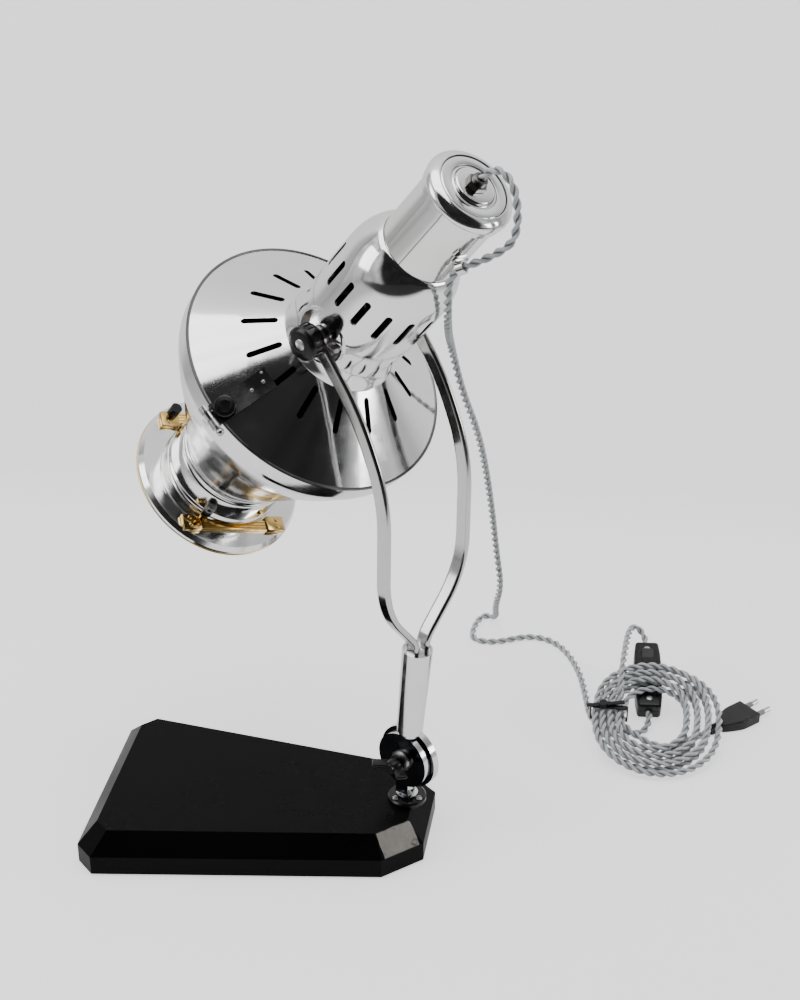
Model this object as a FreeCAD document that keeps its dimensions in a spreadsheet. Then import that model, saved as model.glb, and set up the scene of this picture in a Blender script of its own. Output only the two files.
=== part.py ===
import FreeCAD, Part
import math
import os
import Sketcher

# Tabletop searchlight lamp, in millimetres.
# Origin at the centre of the base's underside, +X to the wide end of the base,
# +Y to the side of the cable clip's viewer, +Z up.

Vector = FreeCAD.Vector
Placement = FreeCAD.Placement
Rotation = FreeCAD.Rotation

doc = FreeCAD.newDocument("Searchlight")

# Named sizes. Lengths in millimetres, angles in degrees.
SIZES = {
    # base block
    "base_half_length": 130.74,
    "base_front_half_width": 88.76,
    "base_side_end_x": 102.33,
    "base_rear_half_width": 57.88,
    "base_tail_half_width": 32.03,
    "base_front_cut": 14.0,
    "base_bevel_inset": 13.27,
    "base_bevel_front_width": 73.61,
    "base_bevel_rear_x": 96.47,
    "base_bevel_rear_width": 45.27,
    "base_bevel_tail_width": 26.17,
    "base_bevel_start": 17.5,
    "base_top": 32.8,
    "pad_thickness": 1.5,
    "pad_inset": 3.0,
    # swivel foot
    "foot_x": -112.6,
    "foot_y": -2.5,
    "foot_radius": 15.0,
    "foot_height": 4.0,
    "foot_screw_circle": 11.2,
    "foot_screw_radius": 2.1,
    "foot_screw_height": 1.3,
    "spigot_radius": 6.0,
    "running_gap": 0.05,
    "end_gap": 0.3,
    "counterbore_radius": 13.0,
    "counterbore_depth": 14.0,
    "swivel_washer_radius": 11.0,
    "swivel_washer_thickness": 1.5,
    "swivel_nut_radius": 9.0,
    "swivel_nut_thickness": 6.0,
    "neck_ring_radius": 8.4,
    "neck_ring_height": 1.8,
    "neck_top": 44.0,
    # hinge of the stem
    "hinge_height": 72.0,
    "near_disc_radius": 23.0,
    "far_disc_radius": 26.0,
    "disc_thickness": 5.8,
    "disc_gap": 1.2,
    "bolt_radius": 4.0,
    "bolt_head_radius": 7.5,
    "bolt_head_thickness": 5.0,
    "hinge_washer_radius": 12.0,
    "hinge_nut_radius": 7.2,
    "hinge_nut_thickness": 4.4,
    "wing_hub_radius": 5.4,
    "wing_hub_length": 8.6,
    "wing_span": 26.0,
    "wing_rise": 8.0,
    "wing_thickness": 2.6,
    # stem
    "stem_lean": 5.43,
    "stem_start": 27.0,
    "stem_length": 76.5,
    "stem_bottom_radius": 10.0,
    "stem_top_radius": 11.6,
    "stem_wall": 1.3,
    "shank_end": 45.0,
    "ferrule_length": 15.0,
    # yoke
    "yoke_half_width": 44.6,
    "arm_width": 11.5,
    "arm_thickness": 5.0,
    "arm_root_spacing": 5.5,
    "arm_root_height": 164.0,
    "arm_root_top": 183.0,
    "arm_bend_height": 229.0,
    "arm_curve_height": 322.0,
    "arm_upper_height": 380.0,
    "arm_root_setback": 55.6,
    "arm_setback": 61.0,
    "arm_upper_setback": 37.0,
    "eye_radius": 8.2,
    # head
    "pivot_x": -74.14,
    "pivot_y": -25.7,
    "pivot_height": 426.2,
    "head_yaw": -31.13,
    "head_dip": 50.06,
    "bowl_radius": 41.0,
    "bowl_wall": 1.6,
    "bowl_top": -87.5,
    "bowl_shoulder": -68.0,
    "bowl_shoulder_radius": 17.0,
    "bowl_cove_start": -2.0,
    "bowl_waist": 10.0,
    "bowl_waist_radius": 38.8,
    "bowl_bottom": 28.0,
    "bowl_bottom_radius": 42.8,
    "vent_count": 15,
    "bowl_vent_start": -56.0,
    "bowl_vent_end": -31.0,
    "bowl_vent_width": 4.4,
    "bowl_vent_turn": -16.0,
    "dome_top_radius": 43.2,
    "dome_rim_radius": 100.0,
    "dome_rim": 65.0,
    "dome_lip": 1.0,
    "dome_wall": 1.3,
    "dome_vent_inner": 47.0,
    "dome_vent_outer": 69.0,
    "dome_vent_width": 4.4,
    "dome_vent_turn": -5.0,
    "sleeve_radius": 28.6,
    "sleeve_wall": 1.5,
    "sleeve_collar_radius": 30.6,
    "sleeve_collar_length": 4.8,
    "cap_joint": -146.6,
    "cap_radius": 31.8,
    "cap_shoulder": -150.5,
    "cap_end": -155.1,
    "cap_end_radius": 24.8,
    "cap_wall": 2.0,
    "end_plate_radius": 24.2,
    "end_plate_thickness": 2.0,
    "end_disc_radius": 14.0,
    "end_disc_rise": 1.6,
    "gland_radius": 8.2,
    "gland_length": 7.4,
    "holder_radius": 18.0,
    "holder_length": 46.0,
    "bulb_neck_radius": 12.0,
    "bulb_radius": 24.0,
    "bulb_centre": -52.0,
    # pivots
    "cup_radius": 20.8,
    "cup_rim": 39.9,
    "cup_depth": 5.0,
    "cup_back": 30.0,
    "cup_hub_radius": 7.4,
    "stud_radius": 4.0,
    "knob_radius": 12.6,
    "knob_length": 13.0,
    # front drum
    "rim_gap": 0.4,
    "drum_band": 12.6,
    "drum_knee": 112.0,
    "drum_knee_radius": 85.6,
    "drum_end": 192.4,
    "drum_end_radius": 44.2,
    "drum_wall": 1.3,
    "collar_start_radius": 44.0,
    "collar_end_radius": 46.4,
    "collar_length": 24.0,
    "bead_radius": 47.8,
    "bead_width": 4.0,
    "neck_radius": 40.4,
    "lens_radius": 36.0,
    "lens_rise": 6.0,
    "flange_rear": 226.1,
    "flange_thickness": 6.2,
    "flange_rear_radius": 64.4,
    "flange_front_radius": 67.2,
    "brass_ring_thickness": 1.2,
    "brass_ring_width": 6.0,
    # slide rails on the flange
    "rail_offset": 41.4,
    "rail_width": 9.8,
    "rail_thickness": 3.4,
    "rail_half_length": 28.0,
    "rail_turn": -63.2,
    "rail_groove": 0.7,
    "rail_end_length": 16.5,
    "rail_end_width": 13.4,
    "rail_end_thickness": 4.6,
    "rail_knob_radius": 4.4,
    "rail_knob_length": 9.0,
    # catch on the collar
    "catch_turn": -30.0,
    "catch_start": 203.0,
    "catch_length": 12.0,
    "catch_width": 8.0,
    "catch_height": 5.6,
    "catch_screw_radius": 3.0,
    # rim hinge
    "rim_hinge_offset": 106.0,
    "rim_hinge_shift": 1.15,
    "knuckle_radius": 3.6,
    "knuckle_half": 9.0,
    "knuckle_middle_low": -1.7,
    "knuckle_middle_high": 3.7,
    "leaf_width": 16.0,
    "leaf_thickness": 1.4,
    "leaf_start": 23.0,
    "leaf_end": 72.5,
    "rim_pin_radius": 1.6,
    "ball_radius": 2.9,
    "hinge_knob_radius": 6.2,
    "hinge_knob_height": 4.6,
    "hinge_knob_place": 59.0,
    "tab_width": 12.0,
    "tab_height": 6.0,
    "tab_thickness": 2.4,
    # cable and what is on it
    "cord_radius": 3.0,
    "coil_turns": 4,
    "coil_left": -251.6,
    "coil_right": -351.7,
    "coil_near": -102.0,
    "coil_depth": 116.0,
    "coil_left_pitch": 6.5,
    "coil_right_pitch": 9.0,
    "coil_layer": 6.5,
    "coil_layer_step": 3.2,
    "coil_tilt": 14.04,
    "clip_turn": -75.0,
    "clip_place": -116.5,
    "clip_width": 11.0,
    "clip_length": 5.0,
    "clip_height": 1.6,
    "eyelet_place": 0.0,
    "eyelet_gap": 0.3,
    "eyelet_wall": 1.4,
    "eyelet_length": 5.0,
    "switch_length": 74.0,
    "switch_width": 24.0,
    "switch_height": 17.2,
    "rocker_length": 20.0,
    "rocker_width": 10.0,
    "plug_length": 36.0,
    "plug_width": 25.0,
    "plug_height": 11.0,
    "plug_neck": 12.0,
    "pin_radius": 2.2,
    "pin_length": 17.0,
    "pin_spacing": 14.0,
    "tie_band": 1.2,
    "tie_width": 4.0,
    "tie_gap": 0.4,
    "knot_place": 5.0,
    "knot_radius": 3.4,
    "knot_height": 5.0,
    "tie_short_end": 14.0,
    "tie_long_end": 18.0,
}

sheet = doc.addObject("Spreadsheet::Sheet", "Sizes")
for row, (name, value) in enumerate(SIZES.items(), start=1):
    sheet.set("A%d" % row, name)
    sheet.set("B%d" % row, str(value))
    sheet.setAlias("B%d" % row, name)
doc.recompute()


class Length:
    """A value together with the sheet expression that gives it."""

    def __init__(self, value, text):
        self.value = value
        self.text = text

    def join(self, other, sign, value):
        return Length(value, "(%s %s %s)" % (self.text, sign, as_length(other).text))

    def __add__(self, other):
        return self.join(other, "+", self.value + as_length(other).value)

    def __sub__(self, other):
        return self.join(other, "-", self.value - as_length(other).value)

    def __mul__(self, other):
        return self.join(other, "*", self.value * as_length(other).value)

    def __truediv__(self, other):
        return self.join(other, "/", self.value / as_length(other).value)

    def __radd__(self, other):
        return as_length(other) + self

    def __rsub__(self, other):
        return as_length(other) - self

    def __rmul__(self, other):
        return as_length(other) * self

    def __neg__(self):
        return Length(0.0, "0") - self


def as_length(item):
    if isinstance(item, Length):
        return item
    return Length(float(item), "(%s)" % repr(float(item)))


class Sheet:
    """Gives each named size as an attribute."""

    def __getattr__(self, name):
        return Length(float(getattr(sheet, name)), "Sizes.%s" % name)


z = Sheet()


def val(item):
    return as_length(item).value


# Frames of the lamp's parts
def frame(origin, x_axis, z_axis):
    y_axis = z_axis.cross(x_axis)
    return Placement(origin, Rotation(x_axis, y_axis, z_axis, "ZXY"))


yaw = math.radians(val(z.head_yaw))
dip = math.radians(val(z.head_dip))
lean = math.radians(val(z.stem_lean))
ahead = Vector(math.cos(yaw), math.sin(yaw), 0)
side = Vector(-math.sin(yaw), math.cos(yaw), 0)
up = Vector(0, 0, 1)
beam = ahead * math.cos(dip) - up * math.sin(dip)
lift = beam.cross(side)

pivot = Vector(val(z.pivot_x), val(z.pivot_y), val(z.pivot_height))
foot = Vector(val(z.foot_x), val(z.foot_y), 0)
hinge = foot + up * val(z.hinge_height)
stem_axis = up * math.cos(lean) - ahead * math.sin(lean)

HEAD = frame(pivot, side, beam)
FOOT = frame(foot, ahead, up)
HINGE = frame(hinge, ahead, side)
STEM = frame(hinge, side, stem_axis)
YOKE = frame(Vector(pivot.x, pivot.y, 0), ahead, up)
LEFT_PIVOT = frame(pivot, lift, side)
RIGHT_PIVOT = frame(pivot, lift, side * -1)


def shift(base, x, y, w):
    return base.multiply(Placement(Vector(val(x), val(y), val(w)), Rotation()))


def spin(base, axis, angle):
    return base.multiply(Placement(Vector(), Rotation(axis, val(angle))))


# Modelling helpers
nodes = []


def keep(item, label):
    item.Label = label
    nodes.append(item)
    return item


def origin_plane(body, role):
    for item in body.Origin.OriginFeatures:
        if item.Role == role:
            return item
    raise RuntimeError("no origin plane " + role)


def sketch_on(body, role, offset=None):
    sketch = body.newObject("Sketcher::SketchObject", "Profile")
    sketch.AttachmentSupport = [(origin_plane(body, role), "")]
    sketch.MapMode = "FlatFace"
    if offset is not None:
        sketch.AttachmentOffset = offset
    return sketch


def bind(sketch, kind, where, item):
    length = as_length(item)
    if kind != "Radius" and abs(length.value) < 1e-9:
        axis = -2 if kind == "DistanceX" else -1
        sketch.addConstraint(Sketcher.Constraint("PointOnObject", where[0], where[1], axis))
        return
    if kind == "Radius":
        index = sketch.addConstraint(Sketcher.Constraint("Radius", where[0], length.value))
    else:
        index = sketch.addConstraint(
            Sketcher.Constraint(kind, -1, 1, where[0], where[1], length.value))
    sketch.setExpression("Constraints[%d]" % index, length.text)


def arc_between(start, end, radius):
    # a short arc that bulges to the left of the way from start to end when radius is positive
    chord = end - start
    half = chord.Length / 2
    size = abs(radius)
    drop = math.sqrt(max(size * size - half * half, 0.0))
    left = Vector(-chord.y, chord.x, 0).normalize()
    if radius < 0:
        left = left * -1
    middle = (start + end) * 0.5 + left * (size - drop)
    return Part.Arc(start, middle, end)


def outline(sketch, points):
    """A closed profile. Each entry is x, y and, for an arc to the next point, a signed radius."""
    count = len(points)
    spots = [Vector(val(p[0]), val(p[1]), 0) for p in points]
    radii = []
    for index, point in enumerate(points):
        start = spots[index]
        end = spots[(index + 1) % count]
        if len(point) > 2:
            radius = as_length(point[2])
            sketch.addGeometry(arc_between(start, end, radius.value))
            size = radius if radius.value > 0 else -radius
            forward = radius.value < 0
            radii.append((index, size, forward))
        else:
            sketch.addGeometry(Part.LineSegment(start, end))
    flipped = {index: not forward for index, size, forward in radii}
    for index, point in enumerate(points):
        following = (index + 1) % count
        # an arc that runs clockwise is stored the other way round
        end_spot = 1 if flipped.get(index) else 2
        start_spot = 2 if flipped.get(following) else 1
        sketch.addConstraint(
            Sketcher.Constraint("Coincident", index, end_spot, following, start_spot))
    for index, point in enumerate(points):
        start_spot = 2 if flipped.get(index) else 1
        bind(sketch, "DistanceX", (index, start_spot), point[0])
        bind(sketch, "DistanceY", (index, start_spot), point[1])
    for index, size, forward in radii:
        start = spots[index]
        end = spots[(index + 1) % count]
        if abs((end - start).Length - 2 * size.value) > 1e-6:
            bind(sketch, "Radius", (index,), size)
        elif abs(start.x - end.x) < 1e-6:
            bind(sketch, "DistanceX", (index, 3), points[index][0])
        else:
            bind(sketch, "DistanceY", (index, 3), points[index][1])
    return sketch


def turned(points, place, name="Turned"):
    """A body of revolution about its own Z axis from a profile in radius and height."""
    body = doc.addObject("PartDesign::Body", name)
    sketch = outline(sketch_on(body, "XZ_Plane"), points)
    solid = body.newObject("PartDesign::Revolution", "Turning")
    solid.Profile = sketch
    solid.ReferenceAxis = (sketch, ["V_Axis"])
    solid.Angle = 360.0
    sketch.Visibility = False
    body.Placement = place
    doc.recompute()
    return body


def raised(points, low, high, place, name="Raised"):
    """A straight prism over an outline in its own XY plane."""
    body = doc.addObject("PartDesign::Body", name)
    sketch = outline(sketch_on(body, "XY_Plane"), points)
    solid = body.newObject("PartDesign::Pad", "Padding")
    solid.Profile = sketch
    solid.setExpression("Length", (as_length(high) - as_length(low)).text)
    sketch.setExpression("AttachmentOffset.Base.z", as_length(low).text)
    body.Placement = place
    doc.recompute()
    return body


def drum(radius, height, place):
    item = doc.addObject("Part::Cylinder", "Round")
    item.setExpression("Radius", as_length(radius).text)
    item.setExpression("Height", as_length(height).text)
    item.Placement = place
    return item


def block(length, width, height, place):
    """A box centred in X and Y on its place, rising from it in Z."""
    item = doc.addObject("Part::Box", "Block")
    item.setExpression("Length", as_length(length).text)
    item.setExpression("Width", as_length(width).text)
    item.setExpression("Height", as_length(height).text)
    item.Placement = shift(place, -0.5 * as_length(length), -0.5 * as_length(width), 0)
    return item


def ball(radius, place):
    item = doc.addObject("Part::Sphere", "Ball")
    item.setExpression("Radius", as_length(radius).text)
    item.Placement = place
    return item


def fused(items):
    item = doc.addObject("Part::MultiFuse", "Joined")
    item.Shapes = items
    item.Refine = True
    return item


def carved(base, tool):
    item = doc.addObject("Part::Cut", "Carved")
    item.Base = base
    item.Tool = tool
    return item


def vent_cut(body, role, points, angle, depth, count, both):
    """A row of equal slots round the Z axis, cut by a patterned pocket."""
    if role == "YZ_Plane":
        offset = Placement(Vector(), Rotation(Vector(0, 1, 0), val(angle)))
    else:
        offset = Placement(Vector(), Rotation(Vector(0, 0, 1), val(angle)))
    sketch = outline(sketch_on(body, role, offset), points)
    pocket = body.newObject("PartDesign::Pocket", "Vent")
    pocket.Profile = sketch
    pocket.Type = 0
    pocket.Reversed = not both
    pocket.Midplane = both
    pocket.setExpression("Length", as_length(depth).text)
    doc.recompute()
    pattern = body.newObject("PartDesign::PolarPattern", "Vents")
    pattern.Originals = [pocket]
    pattern.Axis = (origin_plane(body, "Z_Axis"), [""])
    pattern.Angle = 360.0
    pattern.setExpression("Occurrences", as_length(count).text)
    body.Tip = pattern
    sketch.Visibility = False
    doc.recompute()
    return body


# Base block, its pad and the swivel foot
def base_outline(inset):
    front = z.base_half_length - inset
    wide = z.base_front_half_width - inset
    return [
        (front, wide - z.base_front_cut),
        (front - z.base_front_cut, wide),
        (-(z.base_side_end_x - inset * 0.3), z.base_rear_half_width - inset),
        (-front, z.base_tail_half_width - inset * 0.5),
        (-front, -(z.base_tail_half_width - inset * 0.5)),
        (-(z.base_side_end_x - inset * 0.3), -(z.base_rear_half_width - inset)),
        (front - z.base_front_cut, -wide),
        (front, -(wide - z.base_front_cut)),
    ]


def bevel_outline():
    front = z.base_half_length - z.base_bevel_inset
    cut = z.base_front_cut * 0.75
    return [
        (front, z.base_bevel_front_width - cut),
        (front - cut, z.base_bevel_front_width),
        (-z.base_bevel_rear_x, z.base_bevel_rear_width),
        (-front, z.base_bevel_tail_width),
        (-front, -z.base_bevel_tail_width),
        (-z.base_bevel_rear_x, -z.base_bevel_rear_width),
        (front - cut, -z.base_bevel_front_width),
        (front, -(z.base_bevel_front_width - cut)),
    ]


block_body = doc.addObject("PartDesign::Body", "BaseBody")
lower = outline(sketch_on(block_body, "XY_Plane"), base_outline(0 * z.pad_inset))
lower.setExpression("AttachmentOffset.Base.z", "Sizes.pad_thickness")
sides = block_body.newObject("PartDesign::Pad", "Sides")
sides.Profile = lower
sides.setExpression("Length", "Sizes.base_bevel_start - Sizes.pad_thickness")
doc.recompute()
middle = outline(sketch_on(block_body, "XY_Plane"), base_outline(0 * z.pad_inset))
middle.setExpression("AttachmentOffset.Base.z", "Sizes.base_bevel_start")
upper = outline(sketch_on(block_body, "XY_Plane"), bevel_outline())
upper.setExpression("AttachmentOffset.Base.z", "Sizes.base_top")
doc.recompute()
bevel = block_body.newObject("PartDesign::AdditiveLoft", "Bevel")
bevel.Profile = middle
bevel.Sections = [upper]
bevel.Ruled = True
doc.recompute()
swivel_bore = drum(z.spigot_radius + z.running_gap, z.base_top + 2, shift(FOOT, 0, 0, -1))
counterbore = drum(z.counterbore_radius, z.counterbore_depth + z.pad_thickness, FOOT)
base_block = keep(carved(block_body, fused([swivel_bore, counterbore])), "base_block")

pad_sheet = raised(base_outline(z.pad_inset), 0, z.pad_thickness, Placement(), "Pad")
pad_hole = drum(z.counterbore_radius, z.pad_thickness + 2, shift(FOOT, 0, 0, -1))
base_pad = keep(carved(pad_sheet, pad_hole), "base_pad")

foot_top = z.base_top + z.foot_height
flange_disc = turned([
    (z.spigot_radius + z.running_gap, z.base_top),
    (z.foot_radius, z.base_top),
    (z.foot_radius, foot_top - 1.2),
    (z.foot_radius - 1.2, foot_top),
    (z.spigot_radius + z.running_gap, foot_top)], FOOT, "FootFlange")
screw_heads = [
    drum(z.foot_screw_radius, z.foot_screw_height,
         shift(spin(FOOT, up, turn), z.foot_screw_circle, 0, foot_top))
    for turn in (75.0, 185.0, 305.0)]
foot_flange = keep(fused([flange_disc] + screw_heads), "foot_flange")

# Swivel neck with the near hinge disc
ceiling = z.pad_thickness + z.counterbore_depth
washer_top = ceiling - z.end_gap
nut_top = washer_top - z.swivel_washer_thickness
spigot_end = nut_top - z.swivel_nut_thickness - 1
ring_low = foot_top + z.end_gap
neck_shaft = turned([
    (0, spigot_end),
    (z.spigot_radius, spigot_end),
    (z.spigot_radius, ring_low),
    (z.neck_ring_radius, ring_low),
    (z.neck_ring_radius, ring_low + z.neck_ring_height),
    (z.spigot_radius, ring_low + z.neck_ring_height),
    (z.spigot_radius, z.neck_top),
    (0, z.neck_top)], FOOT, "Neck")
disc_face = z.disc_gap / 2
near_place = shift(HINGE, 0, 0, disc_face)
near_disc = drum(z.near_disc_radius, z.disc_thickness, near_place)
neck_web = block(2 * z.spigot_radius, z.disc_thickness, z.hinge_height - z.neck_top,
                 shift(FOOT, 0, disc_face + z.disc_thickness / 2, z.neck_top - 4))
near_bore = drum(z.bolt_radius + z.running_gap, z.disc_thickness + 4, shift(near_place, 0, 0, -2))
hinge_neck = keep(carved(fused([neck_shaft, near_disc, neck_web]), near_bore), "hinge_neck")
swivel_washer = keep(turned([
    (z.spigot_radius, nut_top),
    (z.swivel_washer_radius, nut_top),
    (z.swivel_washer_radius, washer_top),
    (z.spigot_radius, washer_top)], FOOT, "SwivelWasher"), "swivel_washer")
swivel_nut = keep(turned([
    (z.spigot_radius, nut_top - z.swivel_nut_thickness),
    (z.swivel_nut_radius, nut_top - z.swivel_nut_thickness),
    (z.swivel_nut_radius, nut_top),
    (z.spigot_radius, nut_top)], FOOT, "SwivelNut"), "swivel_nut")

# Stem hinge, stem and the parts on the hinge bolt
far_place = shift(HINGE, 0, 0, -(disc_face + z.disc_thickness))
far_disc = drum(z.far_disc_radius, z.disc_thickness, far_place)
shank_start = z.near_disc_radius + 1.2
shank = drum(z.stem_bottom_radius - z.stem_wall - 0.1, z.shank_end - shank_start,
             shift(STEM, 0, 0, shank_start))
far_bore = drum(z.bolt_radius, z.disc_thickness + 4, shift(far_place, 0, 0, -2))
stem_disc = keep(carved(fused([far_disc, shank]), far_bore), "stem_disc")
stem_end = z.stem_start + z.stem_length
stem_tube = keep(turned([
    (z.stem_bottom_radius - z.stem_wall, z.stem_start),
    (z.stem_bottom_radius, z.stem_start),
    (z.stem_top_radius, stem_end),
    (z.stem_top_radius - z.stem_wall, stem_end)], STEM, "StemTube"), "stem_tube")
ferrule_radius = z.stem_top_radius - z.stem_wall - 0.4
yoke_ferrule = keep(turned([
    (0, stem_end - z.ferrule_length),
    (ferrule_radius, stem_end - z.ferrule_length),
    (ferrule_radius, stem_end - 0.5),
    (0, stem_end - 0.5)], STEM, "Ferrule"), "yoke_ferrule")

bolt_back = -(disc_face + z.disc_thickness)
nut_low = disc_face + z.disc_thickness + z.end_gap
hub_low = nut_low + z.hinge_nut_thickness + z.end_gap
hub_high = hub_low + z.wing_hub_length
bolt_end = hub_high + 1.5
hinge_bolt = keep(turned([
    (0, bolt_back - z.bolt_head_thickness),
    (z.bolt_head_radius - 1, bolt_back - z.bolt_head_thickness),
    (z.bolt_head_radius, bolt_back - z.bolt_head_thickness + 1),
    (z.bolt_head_radius, bolt_back),
    (z.bolt_radius, bolt_back),
    (z.bolt_radius, bolt_end),
    (0, bolt_end)], HINGE, "HingeBolt"), "hinge_bolt")
friction_washer = keep(turned([
    (z.bolt_radius, -disc_face),
    (z.hinge_washer_radius, -disc_face),
    (z.hinge_washer_radius, disc_face - z.end_gap),
    (z.bolt_radius, disc_face - z.end_gap)], HINGE, "FrictionWasher"), "friction_washer")
hinge_nut = keep(turned([
    (z.bolt_radius, nut_low),
    (z.hinge_nut_radius + 1.4, nut_low),
    (z.hinge_nut_radius + 1.4, nut_low + 1),
    (z.hinge_nut_radius, nut_low + 1),
    (z.hinge_nut_radius, nut_low + z.hinge_nut_thickness),
    (z.bolt_radius, nut_low + z.hinge_nut_thickness)], HINGE, "HingeNut"), "hinge_nut")

wing_hub = turned([
    (z.bolt_radius + z.running_gap, hub_low),
    (z.wing_hub_radius + 1, hub_low),
    (z.wing_hub_radius, hub_high),
    (z.bolt_radius + z.running_gap, hub_high)], HINGE, "WingHub")
wing_root = z.bolt_radius + 0.8
wing_tip = z.wing_span / 2
WING = HINGE.multiply(Placement(Vector(), Rotation(Vector(1, 0, 0), 90)))


def wing(sign):
    return raised([
        (sign * wing_root, hub_low + 2),
        (sign * (wing_tip - 3), hub_low + z.wing_rise - 2),
        (sign * wing_tip, hub_low + z.wing_rise + 3),
        (sign * (wing_tip - 3), hub_high + z.wing_rise),
        (sign * (wing_root + 2), hub_high)],
        -z.wing_thickness / 2, z.wing_thickness / 2, WING, "Wing")


wing_nut = keep(fused([wing_hub, wing(1), wing(-1)]), "wing_nut")


# Tubes and bars along a route: straight runs joined by tangent arcs
def route(points, tight=()):
    edges = []
    start = points[0]
    for index in range(1, len(points) - 1):
        before = points[index] - points[index - 1]
        after = points[index + 1] - points[index]
        shorter = min(before.Length, after.Length)
        before.normalize()
        after.normalize()
        turn = before.getAngle(after)
        if turn < math.radians(0.6):
            continue
        radius = 0.45 * shorter / math.tan(turn / 2)
        back = radius * math.tan(turn / 2)
        first = points[index] - before * back
        last = points[index] + after * back
        bisector = (after - before).normalize()
        centre = points[index] + bisector * (radius / math.cos(turn / 2))
        middle = centre - bisector * radius
        if (first - start).Length > 1e-6:
            edges.append(Part.LineSegment(start, first).toShape())
        edges.append(Part.Arc(first, middle, last).toShape())
        start = last
    edges.append(Part.LineSegment(start, points[-1]).toShape())
    return Part.Wire(edges)


def swept(wire, section, label):
    pipe = Part.BRepOffsetAPI.MakePipeShell(wire)
    pipe.add(section)
    pipe.build()
    pipe.makeSolid()
    item = doc.addObject("Part::Feature", "Swept")
    item.Shape = pipe.shape()
    return item


def start_frame(wire):
    edge = wire.OrderedEdges[0]
    first = wire.OrderedVertexes[0].Point
    parameter = edge.FirstParameter
    direction = edge.tangentAt(parameter)
    if (edge.valueAt(parameter) - first).Length > 1e-6:
        parameter = edge.LastParameter
        direction = edge.tangentAt(parameter) * -1
    return first, direction


def tube(wire, radius, label):
    first, direction = start_frame(wire)
    ring = Part.Wire([Part.Circle(first, direction, val(radius)).toShape()])
    item = swept(wire, ring, label)
    expected = math.pi * val(radius) ** 2 * wire.Length
    print("%s length %.1f volume ratio %.4f" % (label, wire.Length, item.Shape.Volume / expected))
    return keep(item, label)


def in_frame(place, points):
    return [place.multVec(Vector(*[val(c) for c in p])) for p in points]


# Yoke arms: flattened bar bent out of the stem, up and forward to the pivot eyes
def arm(sign, label):
    out = sign * z.yoke_half_width
    root = sign * z.arm_root_spacing
    points = in_frame(YOKE, [
        (-z.arm_root_setback + 1.4, root, z.arm_root_height),
        (-z.arm_root_setback, root, z.arm_root_top),
        (-z.arm_setback + 1, out, z.arm_bend_height),
        (-z.arm_setback - 0.5, out, z.arm_curve_height),
        (-z.arm_upper_setback, out, z.arm_upper_height),
        (0, out, z.pivot_height)])
    wire = route(points)
    first, direction = start_frame(wire)
    across = side - direction * side.dot(direction)
    across.normalize()
    along = direction.cross(across)
    half_wide = val(z.arm_width - z.arm_thickness) / 2
    half_thick = val(z.arm_thickness) / 2
    corners = [
        first + along * half_wide + across * half_thick,
        first - along * half_wide + across * half_thick,
        first - along * half_wide - across * half_thick,
        first + along * half_wide - across * half_thick]
    section = Part.Wire([
        Part.LineSegment(corners[0], corners[1]).toShape(),
        Part.Arc(corners[1], first - along * (half_wide + half_thick), corners[2]).toShape(),
        Part.LineSegment(corners[2], corners[3]).toShape(),
        Part.Arc(corners[3], first + along * (half_wide + half_thick), corners[0]).toShape()])
    bar = swept(wire, section, label)
    base = LEFT_PIVOT if sign > 0 else RIGHT_PIVOT
    eye_low = z.yoke_half_width - z.arm_thickness / 2
    eye = drum(z.eye_radius, z.arm_thickness, shift(base, 0, 0, eye_low))
    eye_bore = drum(z.stud_radius + z.running_gap, z.arm_thickness + 4,
                    shift(base, 0, 0, eye_low - 2))
    return keep(carved(fused([bar, eye]), eye_bore), label)


yoke_arm_left = arm(1, "yoke_arm_left")
yoke_arm_right = arm(-1, "yoke_arm_right")

# Lamp housing: ventilated bowl, sleeve and rear cap
thick = z.bowl_wall
bowl_body = turned([
    (z.sleeve_radius, z.bowl_top),
    (z.bowl_radius, z.bowl_shoulder),
    (z.bowl_radius, z.bowl_cove_start),
    (z.bowl_waist_radius, z.bowl_waist),
    (z.bowl_bottom_radius, z.bowl_bottom - 4),
    (z.bowl_bottom_radius, z.bowl_bottom),
    (z.bowl_bottom_radius - thick, z.bowl_bottom),
    (z.bowl_bottom_radius - thick, z.bowl_bottom - 4),
    (z.bowl_waist_radius - thick, z.bowl_waist),
    (z.bowl_radius - thick, z.bowl_cove_start),
    (z.bowl_radius - thick, z.bowl_shoulder),
    (z.sleeve_radius, z.bowl_top + thick * 1.6)], HEAD, "Bowl")
vent_half = z.bowl_vent_width / 2
vent_cut(bowl_body, "YZ_Plane", [
    (-vent_half, z.bowl_vent_start + vent_half),
    (-vent_half, z.bowl_vent_end - vent_half, vent_half),
    (vent_half, z.bowl_vent_end - vent_half),
    (vent_half, z.bowl_vent_start + vent_half, vent_half)],
    z.bowl_vent_turn, z.bowl_radius + 10, z.vent_count, False)
cup_bore = drum(z.cup_radius, 4 * z.cup_rim, shift(LEFT_PIVOT, 0, 0, -2 * z.cup_rim))
bowl_housing = keep(carved(bowl_body, cup_bore), "bowl_housing")

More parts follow.
